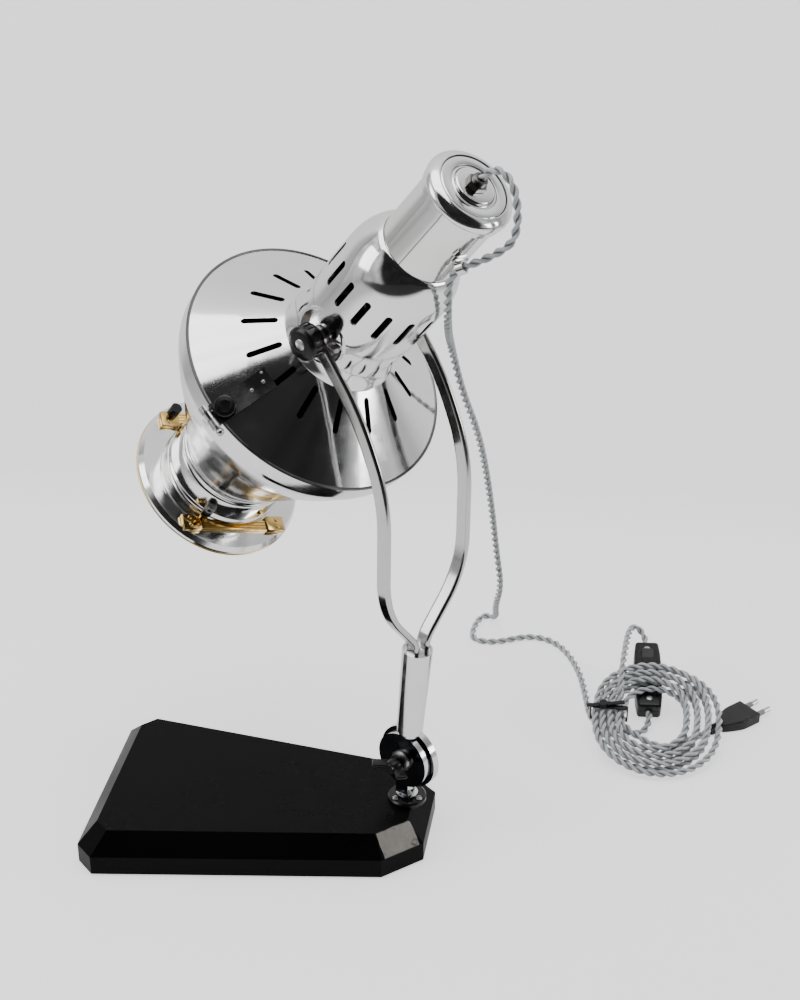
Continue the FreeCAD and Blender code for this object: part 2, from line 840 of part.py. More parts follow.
collar_low = z.cap_joint + z.end_gap
sleeve = keep(turned([
    (z.sleeve_radius - z.sleeve_wall, collar_low),
    (z.sleeve_collar_radius, collar_low),
    (z.sleeve_collar_radius, collar_low + z.sleeve_collar_length),
    (z.sleeve_radius, collar_low + z.sleeve_collar_length),
    (z.sleeve_radius, z.bowl_top + 6),
    (z.sleeve_radius - z.sleeve_wall, z.bowl_top + 6)], HEAD, "Sleeve"), "sleeve")
rear_cap = keep(turned([
    (z.cap_radius - z.cap_wall, z.cap_joint),
    (z.cap_radius, z.cap_joint),
    (z.cap_radius, z.cap_shoulder),
    (z.cap_end_radius, z.cap_end),
    (z.cap_end_radius, z.cap_end + z.cap_wall),
    (z.cap_radius - z.cap_wall, z.cap_shoulder + 1)], HEAD, "RearCap"), "rear_cap")
plate_front = z.cap_end + 0.4 + z.end_plate_thickness
end_plate = keep(turned([
    (z.cord_radius, z.cap_end - z.end_disc_rise),
    (z.end_disc_radius, z.cap_end - z.end_disc_rise),
    (z.end_disc_radius, z.cap_end + 0.4),
    (z.end_plate_radius, z.cap_end + 0.4),
    (z.end_plate_radius, plate_front),
    (z.cord_radius, plate_front)], HEAD, "EndPlate"), "end_plate")
gland_face = z.cap_end - z.end_disc_rise
gland_nut = keep(turned([
    (z.cord_radius, gland_face - z.gland_length),
    (z.gland_radius - 1.6, gland_face - z.gland_length),
    (z.gland_radius, gland_face - z.gland_length + 1.6),
    (z.gland_radius, gland_face),
    (z.cord_radius, gland_face)], HEAD, "GlandNut"), "gland_nut")
lamp_holder = keep(turned([
    (0, plate_front),
    (z.holder_radius, plate_front),
    (z.holder_radius, plate_front + z.holder_length),
    (z.bulb_neck_radius, plate_front + z.holder_length + 6),
    (0, plate_front + z.holder_length + 6)], HEAD, "LampHolder"), "lamp_holder")
bulb_start = plate_front + z.holder_length + 6
bulb = keep(turned([
    (0, bulb_start),
    (z.bulb_neck_radius, bulb_start),
    (z.bulb_neck_radius, z.bulb_centre - z.bulb_radius + 3),
    (z.bulb_radius, z.bulb_centre, -z.bulb_radius),
    (0, z.bulb_centre + z.bulb_radius)], HEAD, "Bulb"), "bulb")


# Pivot cups, studs and clamping knobs
def pivot_set(place, name):
    hub_top = z.yoke_half_width - z.arm_thickness / 2 - z.end_gap
    floor = z.cup_rim - z.cup_depth
    keep(turned([
        (z.stud_radius, z.cup_back),
        (z.cup_radius, z.cup_back),
        (z.cup_radius, z.cup_rim),
        (z.cup_radius - 1.8, z.cup_rim),
        (z.cup_radius - 5, floor),
        (z.cup_hub_radius + 1, floor),
        (z.cup_hub_radius, hub_top),
        (z.stud_radius, hub_top)], place, "PivotCup"), "pivot_cup_" + name)
    eye_top = z.yoke_half_width + z.arm_thickness / 2
    knob_low = eye_top + z.end_gap
    knob_top = knob_low + z.knob_length
    stud_top = knob_low + z.knob_length * 0.7
    keep(turned([
        (0, z.cup_back - 3),
        (z.stud_radius + 3, z.cup_back - 3),
        (z.stud_radius + 3, z.cup_back),
        (z.stud_radius, z.cup_back),
        (z.stud_radius, stud_top),
        (0, stud_top)], place, "PivotStud"), "pivot_stud_" + name)
    keep(turned([
        (z.stud_radius + z.running_gap, knob_low),
        (z.knob_radius - 1, knob_low),
        (z.knob_radius, knob_low + 1.5),
        (z.knob_radius, knob_top - 4),
        (z.knob_radius - 3.5, knob_top),
        (0, knob_top),
        (0, stud_top + z.end_gap),
        (z.stud_radius + z.running_gap, stud_top + z.end_gap)], place, "PivotKnob"),
        "pivot_knob_" + name)


pivot_set(LEFT_PIVOT, "left")
pivot_set(RIGHT_PIVOT, "right")

# Dome cover with its radial vents
lip_end = z.dome_rim + z.dome_lip
dome_body = turned([
    (z.bowl_bottom_radius - thick, z.bowl_bottom),
    (z.dome_top_radius, z.bowl_bottom),
    (z.dome_rim_radius, z.dome_rim),
    (z.dome_rim_radius, lip_end),
    (z.dome_rim_radius - z.dome_wall, lip_end),
    (z.dome_rim_radius - z.dome_wall - 0.3, z.dome_rim + z.dome_wall * 0.4),
    (z.bowl_bottom_radius - thick, z.bowl_bottom + z.dome_wall * 1.1)], HEAD, "Dome")
vent_half = z.dome_vent_width / 2
vent_cut(dome_body, "XY_Plane", [
    (z.dome_vent_inner + vent_half, -vent_half),
    (z.dome_vent_outer - vent_half, -vent_half, -vent_half),
    (z.dome_vent_outer - vent_half, vent_half),
    (z.dome_vent_inner + vent_half, vent_half, -vent_half)],
    z.dome_vent_turn, 4 * z.dome_rim, z.vent_count, True)
dome_cover = keep(dome_body, "dome_cover")

# Rim hinge between the dome and the front drum
slope = math.atan2(val(z.dome_rim - z.bowl_bottom), val(z.dome_rim_radius - z.dome_top_radius))
generator = side * math.cos(slope) + beam * math.sin(slope)
outward = side * math.sin(slope) - beam * math.cos(slope)
LEAF = frame(HEAD.multVec(Vector(val(z.dome_top_radius), 0, val(z.bowl_bottom))),
             generator, outward)
KNUCKLE = frame(HEAD.multVec(Vector(val(z.rim_hinge_offset), 0,
                                    val(z.dome_rim + z.rim_hinge_shift))), side, lift * 1)
leaf_length = z.leaf_end - z.leaf_start
leaf = block(leaf_length, z.leaf_width, z.leaf_thickness,
             shift(LEAF, z.leaf_start + leaf_length / 2, 0, 0.1))
barrel = drum(z.knuckle_radius, 2 * z.knuckle_half, shift(KNUCKLE, 0, 0, -z.knuckle_half))
gap_low = z.knuckle_middle_low - z.end_gap
gap_high = z.knuckle_middle_high + z.end_gap
knuckle_gap = block(4 * z.knuckle_radius, 4 * z.knuckle_radius, gap_high - gap_low,
                    shift(KNUCKLE, 0, 0, gap_low))
pin_bore = drum(z.rim_pin_radius, 4 * z.knuckle_half, shift(KNUCKLE, 0, 0, -2 * z.knuckle_half))
rivets = [ball(1.6, shift(LEAF, z.leaf_start + 6, 0, z.leaf_thickness)),
          ball(1.6, shift(LEAF, z.leaf_start + 16, 0.5, z.leaf_thickness)),
          ball(1.2, shift(LEAF, z.leaf_start + 3.5, -6, z.leaf_thickness))]
rivets_trim = block(60, 40, 4, shift(LEAF, z.leaf_start + 10, 0, -3.9))
leaf_shape = carved(fused([leaf, barrel] + rivets), fused([knuckle_gap, pin_bore, rivets_trim]))
dome_hinge = keep(leaf_shape, "dome_hinge")
rim_pin = keep(fused([
    drum(z.rim_pin_radius, 2 * z.knuckle_half + 2, shift(KNUCKLE, 0, 0, -z.knuckle_half - 2)),
    ball(z.ball_radius, shift(KNUCKLE, 0, 0, -z.knuckle_half - z.ball_radius - 0.2))]), "rim_pin")
hinge_knob = keep(drum(z.hinge_knob_radius, z.hinge_knob_height,
                       shift(LEAF, z.hinge_knob_place, 0, 0.1 + z.leaf_thickness)), "hinge_knob")

drum_start = lip_end + z.rim_gap
drum_leaf = block(3.4, z.knuckle_middle_high - z.knuckle_middle_low, z.drum_band - 1,
                  shift(HEAD, z.drum_wall * 0 + z.dome_rim_radius + 1.9,
                        (z.knuckle_middle_high + z.knuckle_middle_low) / 2, drum_start))
drum_barrel = drum(z.knuckle_radius, z.knuckle_middle_high - z.knuckle_middle_low,
                   shift(KNUCKLE, 0, 0, z.knuckle_middle_low))
drum_pin_bore = drum(z.rim_pin_radius + z.running_gap, 4 * z.knuckle_half,
                     shift(KNUCKLE, 0, 0, -2 * z.knuckle_half))
drum_hinge = keep(carved(fused([drum_leaf, drum_barrel]), drum_pin_bore), "drum_hinge")

# Front drum, collar, lens and flange
wall = z.drum_wall
band_end = drum_start + z.drum_band
drum_shell = keep(turned([
    (z.dome_rim_radius - wall, drum_start),
    (z.dome_rim_radius, drum_start),
    (z.dome_rim_radius, band_end),
    (z.drum_knee_radius, z.drum_knee),
    (z.drum_end_radius, z.drum_end),
    (z.drum_end_radius - wall * 2, z.drum_end),
    (z.drum_knee_radius - wall * 1.12, z.drum_knee),
    (z.dome_rim_radius - wall, band_end - 0.3)], HEAD, "DrumShell"), "drum_shell")
collar_start = z.drum_end
bead_low = collar_start + z.collar_length
bead_high = bead_low + z.bead_width
lens_seat = collar_start + 14
front_collar = keep(turned([
    (z.lens_radius + 1, collar_start),
    (z.collar_start_radius, collar_start),
    (z.collar_end_radius, bead_low),
    (z.bead_radius, bead_low + 1),
    (z.bead_radius, bead_high - 1),
    (z.collar_end_radius, bead_high),
    (z.neck_radius, bead_high),
    (z.neck_radius, z.flange_rear),
    (z.lens_radius + 1, z.flange_rear)], HEAD, "FrontCollar"), "front_collar")
lens_edge = z.lens_radius + 1
lens_curve = (lens_edge * lens_edge + z.lens_rise * z.lens_rise) / (2 * z.lens_rise)
lens = keep(turned([
    (0, lens_seat),
    (lens_edge, lens_seat),
    (lens_edge, lens_seat + 3, -lens_curve),
    (0, lens_seat + 3 + z.lens_rise)], HEAD, "Lens"), "lens")
flange_front = z.flange_rear + z.flange_thickness
front_flange = keep(turned([
    (z.lens_radius, z.flange_rear),
    (z.flange_rear_radius, z.flange_rear),
    (z.flange_front_radius, z.flange_rear + 3.5),
    (z.flange_front_radius, flange_front),
    (z.lens_radius, flange_front)], HEAD, "FrontFlange"), "front_flange")
ring_outer = z.flange_front_radius - 0.4
brass_ring = keep(turned([
    (ring_outer - z.brass_ring_width, flange_front),
    (ring_outer, flange_front),
    (ring_outer, flange_front + z.brass_ring_thickness),
    (ring_outer - z.brass_ring_width, flange_front + z.brass_ring_thickness)],
    HEAD, "BrassRing"), "brass_ring")


# Slide rails on the back of the flange, one each side of the collar
def slide_rail(turn, name):
    base = spin(HEAD, Vector(0, 0, 1), turn)
    low = z.flange_rear - z.rail_thickness
    across = z.rail_offset + z.rail_width / 2
    bar = block(z.rail_width, 2 * z.rail_half_length, z.rail_thickness, shift(base, across, 0, low))
    groove = block(z.rail_groove, 2 * z.rail_half_length + 2, 1.2,
                   shift(base, across + 0.4, 0, low - 0.2))
    end_across = z.rail_offset - 3.4 + z.rail_end_width / 2
    along = z.rail_half_length + z.rail_end_length / 2
    low_end = z.flange_rear - z.rail_end_thickness
    ends = [block(z.rail_end_width, z.rail_end_length, z.rail_end_thickness,
                  shift(base, end_across, sign * along, low_end)) for sign in (1, -1)]
    keep(carved(fused([bar] + ends), groove), "slide_rail_" + name)


slide_rail(z.rail_turn, "lower")
slide_rail(z.rail_turn + 180, "upper")
upper_turn = spin(HEAD, Vector(0, 0, 1), z.rail_turn + 180)
rail_knob = keep(drum(z.rail_knob_radius, z.rail_knob_length, shift(
    upper_turn, z.rail_offset + 7.5, -(z.rail_half_length + 6),
    z.flange_rear - z.rail_end_thickness - z.rail_knob_length - z.end_gap)), "rail_knob")

# Catch and its screw on the collar
CATCH = spin(HEAD, Vector(0, 0, 1), z.catch_turn)
catch_radius = z.collar_end_radius + 0.1
catch_block = keep(block(z.catch_height, z.catch_width, z.catch_length,
                         shift(CATCH, catch_radius + z.catch_height / 2, 0, z.catch_start)),
                   "catch_block")
catch_end = z.catch_start + z.catch_length
catch_screw = keep(fused([
    drum(z.catch_screw_radius, 4, shift(CATCH, catch_radius + 5.2, 0, catch_end + z.end_gap)),
    drum(1.2, 3.6, shift(CATCH, catch_radius + 5.2, 0, catch_end + z.end_gap + 2))]),
    "catch_screw")
drum_tab = keep(block(z.tab_height, z.tab_width, z.tab_thickness, shift(
    spin(HEAD, Vector(0, 0, 1), 180), z.dome_rim_radius + z.tab_height / 2 + 0.1, 0,
    drum_start + 4)), "drum_tab")

# Cable clip on the sleeve
CLIP = spin(HEAD, Vector(0, 0, 1), z.clip_turn)
clip_radius = z.sleeve_radius + z.end_gap
clip_point = HEAD.multVec(Vector(10.4, -33.95, -117))
cord_entry = Vector(-181, 40, 507)
clip_run = (clip_point - cord_entry).normalize()
clip_foot = block(z.clip_height, z.clip_width, z.clip_length,
                  shift(CLIP, clip_radius + z.clip_height / 2, 0, z.clip_place))
EYELET = shift(frame(clip_point, side, clip_run), 0, 0, z.eyelet_place)
eyelet = carved(drum(z.cord_radius + z.eyelet_gap + z.eyelet_wall, z.eyelet_length, EYELET),
                drum(z.cord_radius + z.eyelet_gap, z.eyelet_length + 2, shift(EYELET, 0, 0, -1)))
keep(fused([clip_foot, eyelet]), "cord_clip")

# Cable routes
cord_z = val(z.cord_radius) + 0.1
gland_exit = HEAD.multVec(Vector(0, 0, val(gland_face - z.gland_length)))
loop_points = [
    gland_exit,
    gland_exit - beam * 15,
    Vector(-187, 40, 553),
    Vector(-190, 41, 523),
    cord_entry,
    clip_point]
tube(route(loop_points), z.cord_radius, "cord_loop")
drop_axis = Vector(-0.0606, -0.4025, -0.9133).normalize()
drop_top = Vector(-153.6, -234.0, 122.0)
split = drop_top + drop_axis * 24
hang_points = [
    clip_point,
    clip_point + clip_run * 12,
    Vector(-143.4, 26, 461),
    Vector(-140.2, 0, 433),
    Vector(-134.2, -62, 394),
    Vector(-138.5, -93, 344),
    Vector(-147, -132, 290),
    Vector(-150.5, -174, 229),
    Vector(-152.3, -210, 169),
    drop_top,
    split]
tube(route(hang_points), z.cord_radius, "cord_hang")
SWITCH_AXIS = Vector(7.0, -71.0, 18.8).normalize()
switch_near = Vector(-293, -180, 9.2)
switch_far = switch_near + SWITCH_AXIS * val(z.switch_length)
floor_points = [
    split + drop_axis * val(z.end_gap),
    split + drop_axis * 26,
    Vector(-148.5, -283, 37),
    Vector(-147, -318, cord_z),
    Vector(-134, -321, cord_z),
    Vector(-128, -299, cord_z),
    Vector(-129, -277, cord_z),
    Vector(-152, -276, cord_z),
    Vector(-178, -292, cord_z),
    Vector(-201, -288, cord_z),
    Vector(-218, -268, cord_z),
    Vector(-231, -236, cord_z),
    Vector(-238.5, -200, cord_z),
    Vector(-245, -168, cord_z),
    Vector(-267, -156, cord_z),
    switch_near - SWITCH_AXIS * 24,
    switch_near - SWITCH_AXIS * val(z.end_gap)]
tube(route(floor_points), z.cord_radius, "cord_floor")

# Coil: loops in two layers, spiralling out below, climbing one layer, and in again above
tilt = math.radians(val(z.coil_tilt))
depth_axis = Vector(0, -math.cos(tilt), math.sin(tilt))
layer_axis = Vector(0, math.sin(tilt), math.cos(tilt))
turns = int(round(val(z.coil_turns)))
half_width = abs(val(z.coil_right - z.coil_left)) / 2
near_v = half_width
far_v = val(z.coil_depth) - half_width


def coil_point(x, v, layer):
    base = Vector(x, val(z.coil_near), cord_z)
    return base + depth_axis * v + layer_axis * (layer * val(z.coil_layer))


def left_at(index, layer=0):
    return val(z.coil_left) - index * val(z.coil_left_pitch) + layer * val(z.coil_layer_step)


def right_at(index):
    return val(z.coil_right) + index * val(z.coil_right_pitch)


def quarter(start, direction, end, edges):
    reach = end - start
    along = direction * reach.dot(direction)
    inward = reach - along
    radius = inward.Length
    inward.normalize()
    centre = start + inward * radius
    middle = centre + (direction - inward).normalize() * radius
    edges.append(Part.Arc(start, middle, end).toShape())


def half_turn(start, direction, end, edges):
    reach = (end - start).Length / 2
    top = (start + end) * 0.5 + direction * reach
    quarter(start, direction, top, edges)
    quarter(end, direction, top, edges)


def straight(start, end, edges):
    edges.append(Part.LineSegment(start, end).toShape())


coil_edges = []
inner = turns - 1
coil_start = coil_point(left_at(inner), near_v + 2 * val(z.cord_radius), 0)
for index in range(inner, -1, -1):
    side_start = coil_start if index == inner else coil_point(left_at(index), near_v, 0)
    straight(side_start, coil_point(left_at(index), far_v, 0), coil_edges)
    half_turn(coil_point(left_at(index), far_v, 0), depth_axis,
              coil_point(right_at(index), far_v, 0), coil_edges)
    straight(coil_point(right_at(index), far_v, 0),
             coil_point(right_at(index), near_v, 0), coil_edges)
    if index > 0:
        half_turn(coil_point(right_at(index), near_v, 0), depth_axis * -1,
                  coil_point(left_at(index - 1), near_v, 0), coil_edges)
half_turn(coil_point(right_at(0), near_v, 0), depth_axis * -1,
          coil_point(left_at(0, 1), near_v, 1), coil_edges)
for index in range(0, inner):
    straight(coil_point(left_at(index, 1), near_v, 1),
             coil_point(left_at(index, 1), far_v, 1), coil_edges)
    half_turn(coil_point(left_at(index, 1), far_v, 1), depth_axis,
              coil_point(right_at(index + 1), far_v, 1), coil_edges)
    straight(coil_point(right_at(index + 1), far_v, 1),
             coil_point(right_at(index + 1), near_v, 1), coil_edges)
    half_turn(coil_point(right_at(index + 1), near_v, 1), depth_axis * -1,
              coil_point(left_at(index + 1, 1), near_v, 1), coil_edges)
coil_end = coil_point(left_at(inner, 1), far_v - 2, 1)
straight(coil_point(left_at(inner, 1), near_v, 1), coil_end, coil_edges)
coil_wire = Part.Wire(Part.__sortEdges__(coil_edges))
coil = tube(coil_wire, z.cord_radius, "cord_coil")


def self_gap(wire, radius, skip):
    # least distance between parts of the centre line further apart along it than skip
    count = int(wire.Length / 2.0)
    spots = wire.discretize(Number=count)
    step = wire.Length / (count - 1)
    apart = int(skip / step) + 1
    least = 1e9
    for index, spot in enumerate(spots):
        for other in spots[index + apart:]:
            least = min(least, (spot - other).Length)
    return least - 2 * radius


print("coil least self gap %.2f mm" % self_gap(coil_wire, val(z.cord_radius), 60.0))

# Arch from the coil to the far end of the switch
arch_points = [
    coil_end + depth_axis * val(z.end_gap),
    coil_point(left_at(inner, 1), far_v + 3, 1),
    coil_point(left_at(inner, 1), far_v + 15, 1) + layer_axis * 8,
    coil_point(left_at(inner, 1), far_v + half_width - 4, 1) + layer_axis * 8,
    switch_far + SWITCH_AXIS * 17 + Vector(14, 0, 9),
    switch_far + SWITCH_AXIS * 16,
    switch_far + SWITCH_AXIS * val(z.end_gap)]
tube(route(arch_points), z.cord_radius, "cord_arch")

# Inline switch on the cable
SWITCH = frame(switch_near, SWITCH_AXIS, SWITCH_AXIS.cross(up.cross(SWITCH_AXIS)).normalize())
shell_half = z.switch_height / 2
switch_shell = doc.addObject("PartDesign::Body", "SwitchShell")
half_w = z.switch_width / 2
switch_profile = outline(sketch_on(switch_shell, "XY_Plane"), [
    (0, -(half_w - 5)),
    (z.switch_length * 0.3, -half_w),
    (z.switch_length * 0.7, -half_w),
    (z.switch_length, -(half_w - 5)),
    (z.switch_length, half_w - 5),
    (z.switch_length * 0.7, half_w),
    (z.switch_length * 0.3, half_w),
    (0, half_w - 5)])
switch_profile.setExpression("AttachmentOffset.Base.z", (-shell_half).text)
shell_pad = switch_shell.newObject("PartDesign::Pad", "Shell")
shell_pad.Profile = switch_profile
shell_pad.setExpression("Length", "Sizes.switch_height")
doc.recompute()
rounding = switch_shell.newObject("PartDesign::Fillet", "Rounding")
flat_faces = [index for index, face in enumerate(shell_pad.Shape.Faces, start=1)
              if abs(face.normalAt(0.5, 0.5).z) > 0.99]
rounding.Base = (shell_pad, ["Face%d" % index for index in flat_faces])
rounding.setExpression("Radius", "Sizes.switch_height / 5")
switch_shell.Placement = SWITCH
doc.recompute()
rocker_place = shift(SWITCH, z.switch_length * 0.72, 0, shell_half)
rocker_slot = block(z.rocker_length + 0.8, z.rocker_width + 0.8, 12,
                    shift(rocker_place, 0, 0, -7))
switch_body = keep(carved(switch_shell, rocker_slot), "switch_body")
rocker = doc.addObject("PartDesign::Body", "Rocker")
rocker_half = z.rocker_length / 2
rocker_profile = outline(sketch_on(rocker, "XZ_Plane"), [
    (-(rocker_half - 2.4), -3.6),
    (rocker_half - 2.4, -3.6),
    (rocker_half, 0.6),
    (rocker_half - 1.0, 3.4),
    (0, 1.8),
    (-(rocker_half - 1.0), 1.2),
    (-rocker_half, 0)])
rocker_pad = rocker.newObject("PartDesign::Pad", "Key")
rocker_pad.Profile = rocker_profile
rocker_pad.Midplane = True
rocker_pad.setExpression("Length", "Sizes.rocker_width")
rocker.Placement = rocker_place
doc.recompute()
keep(rocker, "switch_rocker")

# Plug and its tail
plug_tip = Vector(-378.0, -201.5, 0)
plug_back = Vector(0.70, 0.714, 0).normalize()
plug_height = val(z.plug_height)
PLUG = frame(plug_tip + Vector(0, 0, plug_height / 2 + 0.1), plug_back, up)
half_plug = z.plug_width / 2
plug_shell = doc.addObject("PartDesign::Body", "PlugShell")
plug_profile = outline(sketch_on(plug_shell, "XY_Plane"), [
    (0, -half_plug + 1.5),
    (z.plug_length * 0.55, -half_plug),
    (z.plug_length, -4.5),
    (z.plug_length + z.plug_neck, -4.5),
    (z.plug_length + z.plug_neck, 4.5),
    (z.plug_length, 4.5),
    (z.plug_length * 0.55, half_plug),
    (0, half_plug - 1.5)])
plug_profile.setExpression("AttachmentOffset.Base.z", (z.plug_height * -0.5).text)
plug_pad = plug_shell.newObject("PartDesign::Pad", "PlugPad")
plug_pad.Profile = plug_profile
plug_pad.setExpression("Length", "Sizes.plug_height - 1.6")
plug_shell.Placement = PLUG
doc.recompute()
keep(plug_shell, "plug_body")
PINS = PLUG.multiply(Placement(Vector(0, 0, -0.8), Rotation(Vector(0, 1, 0), -90)))
for sign, name in ((1, "left"), (-1, "right")):
    keep(turned([
        (0, 0),
        (z.pin_radius, 0),
        (z.pin_radius, z.pin_length - 1),
        (z.pin_radius - 1, z.pin_length),
        (0, z.pin_length)], shift(PINS, 0, sign * z.pin_spacing / 2, 0), "PlugPin"),
        "plug_pin_" + name)
plug_end = PLUG.multVec(Vector(val(z.plug_length + z.plug_neck + z.end_gap), 0, -0.8))
tail_points = [
    plug_end,
    plug_end + plug_back * 14,
    Vector(-306.0, -131.0, 6.0),
    coil_point(left_at(inner), near_v - 2, 0),
    coil_start - depth_axis * val(z.end_gap)]
tube(route(tail_points), z.cord_radius, "cord_tail")

# Tie round the bunched left side of the coil
bunch_wide = (z.coil_turns - 1) * z.coil_left_pitch + 2 * z.cord_radius + z.coil_layer_step
bunch_high = z.coil_layer + 2 * z.cord_radius
tie_centre = coil_point((left_at(0, 1) + left_at(inner)) / 2, near_v + 9, 0.5)
TIE = frame(tie_centre, Vector(1, 0, 0), depth_axis)
tie_inner = block(bunch_wide + 2 * z.tie_gap, bunch_high + 2 * z.tie_gap, z.tie_width + 2,
                  shift(TIE, 0, 0, -(z.tie_width / 2) - 1))
tie_outer = block(bunch_wide + 2 * z.tie_gap + 2 * z.tie_band,
                  bunch_high + 2 * z.tie_gap + 2 * z.tie_band, z.tie_width,
                  shift(TIE, 0, 0, -(z.tie_width / 2)))
tie_top = bunch_high / 2 + z.tie_gap + z.tie_band
KNOT = frame(TIE.multVec(Vector(val(z.knot_place), val(tie_top) - 0.5, 0)), depth_axis, layer_axis)
knot = drum(z.knot_radius, z.knot_height, KNOT)
tails = [block(length, z.tie_width - 0.8, z.tie_band,
               shift(spin(KNOT, Vector(0, 0, 1), angle), length / 2, 0, 1.6))
         for length, angle in ((z.tie_short_end, 100), (z.tie_long_end, -75))]
keep(fused([carved(tie_outer, tie_inner), knot] + tails), "cord_tie")

# Checks on every object, then the files
doc.recompute()
for item in doc.Objects:
    if "Invalid" in item.State or "Error" in item.State:
        raise RuntimeError("%s is in state %s" % (item.Label, item.State))
os.makedirs("parts", exist_ok=True)
for item in nodes:
    shape = item.Shape
    if shape.isNull() or not shape.isValid():
        raise RuntimeError("%s has a bad shape" % item.Label)
    print("%-18s solids %d volume %.0f" % (item.Label, len(shape.Solids), shape.Volume))
    shape.exportStep(os.path.join("parts", item.Label + ".step"))
print("nodes", len(nodes))
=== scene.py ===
import math

import bpy
import bmesh
from mathutils import Matrix, Vector


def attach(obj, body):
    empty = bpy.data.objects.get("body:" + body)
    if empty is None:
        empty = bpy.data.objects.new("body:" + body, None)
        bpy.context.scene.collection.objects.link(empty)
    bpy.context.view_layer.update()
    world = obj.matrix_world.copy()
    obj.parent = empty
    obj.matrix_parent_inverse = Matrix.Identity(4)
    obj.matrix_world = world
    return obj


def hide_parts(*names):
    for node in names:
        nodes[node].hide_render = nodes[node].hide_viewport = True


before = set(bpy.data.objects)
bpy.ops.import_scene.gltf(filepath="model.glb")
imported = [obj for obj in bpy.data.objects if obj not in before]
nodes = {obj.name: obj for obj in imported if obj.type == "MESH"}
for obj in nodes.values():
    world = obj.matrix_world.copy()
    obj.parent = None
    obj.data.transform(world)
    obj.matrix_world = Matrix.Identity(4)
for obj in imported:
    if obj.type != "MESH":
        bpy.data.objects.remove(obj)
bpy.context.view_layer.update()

# Directions and centres of the lamp, as the source has them
YAW = math.radians(-31.13)
DIP = math.radians(50.06)
AHEAD = Vector((math.cos(YAW), math.sin(YAW), 0.0))
SIDE = Vector((-math.sin(YAW), math.cos(YAW), 0.0))
UP = Vector((0.0, 0.0, 1.0))
BEAM = AHEAD * math.cos(DIP) - UP * math.sin(DIP)
LIFT = AHEAD * math.sin(DIP) + UP * math.cos(DIP)
PIVOT = Vector((-0.07414, -0.0257, 0.4262))
HINGE = Vector((-0.1126, -0.0025, 0.072))
MM = 0.001


def head_point(side, lift, beam):
    # a point in the head's own millimetres
    return PIVOT + (SIDE * side + LIFT * lift + BEAM * beam) * MM


def on_head(radius, turn, beam):
    # a point on a circle round the beam
    angle = math.radians(turn)
    return head_point(radius * math.cos(angle), radius * math.sin(angle), beam)


def head_way(turn):
    # the direction away from the beam at a turn round it
    return SIDE * math.cos(math.radians(turn)) + LIFT * math.sin(math.radians(turn))


# Camera, solved from the base's right angles and the round rims
FOCAL_PIXELS = 1954.2
PHOTO_PIXELS_HIGH = 1000.0
SENSOR = 36.0
CAMERA_PLACE = (-0.2990, 1.1996, 0.9749)
VIEW = Vector((0.1378, -0.8628, -0.4865)).normalized()
camera_data = bpy.data.cameras.new("camera")
camera_data.sensor_width = SENSOR
camera_data.lens = FOCAL_PIXELS * SENSOR / PHOTO_PIXELS_HIGH
camera_data.clip_end = 50.0
camera = bpy.data.objects.new("camera", camera_data)
bpy.context.scene.collection.objects.link(camera)
camera.location = CAMERA_PLACE
camera.rotation_euler = VIEW.to_track_quat("-Z", "Y").to_euler()
bpy.context.scene.camera = camera


# Arithmetic on the sockets of a material
class Field:
    def __init__(self, graph, socket):
        self.graph = graph
        self.socket = socket

    def math(self, operation, other=0.0, third=0.0):
        return self.graph.add("ShaderNodeMath", {"operation": operation}, {0: self, 1: other, 2: third})

    def __add__(self, other):
        return self.math("ADD", other)

    def __radd__(self, other):
        return self.math("ADD", other)

    def __sub__(self, other):
        return self.math("SUBTRACT", other)

    def __rsub__(self, other):
        return (self * -1.0) + other

    def __mul__(self, other):
        return self.math("MULTIPLY", other)

    def __rmul__(self, other):
        return self.math("MULTIPLY", other)

    def __truediv__(self, other):
        return self.math("DIVIDE", other)

    def __pow__(self, other):
        return self.math("POWER", other)

    def clipped(self):
        return self.math("MINIMUM", 1.0).math("MAXIMUM", 0.0)

    def band(self, low, high, out_low=0.0, out_high=1.0):
        return self.graph.add(
            "ShaderNodeMapRange", {"interpolation_type": "SMOOTHSTEP"},
            {"Value": self, "From Min": low, "From Max": high, "To Min": out_low, "To Max": out_high})

    def along(self, direction):
        return self.graph.add("ShaderNodeVectorMath", {"operation": "DOT_PRODUCT"},
                              {0: self, 1: tuple(direction)}, "Value")

    def dot(self, other):
        # the same as along, with another field
        return self.graph.add("ShaderNodeVectorMath", {"operation": "DOT_PRODUCT"},
                              {0: self, 1: other}, "Value")

    def less(self, point):
        return self.graph.add("ShaderNodeVectorMath", {"operation": "SUBTRACT"},
                              {0: self, 1: tuple(point)})


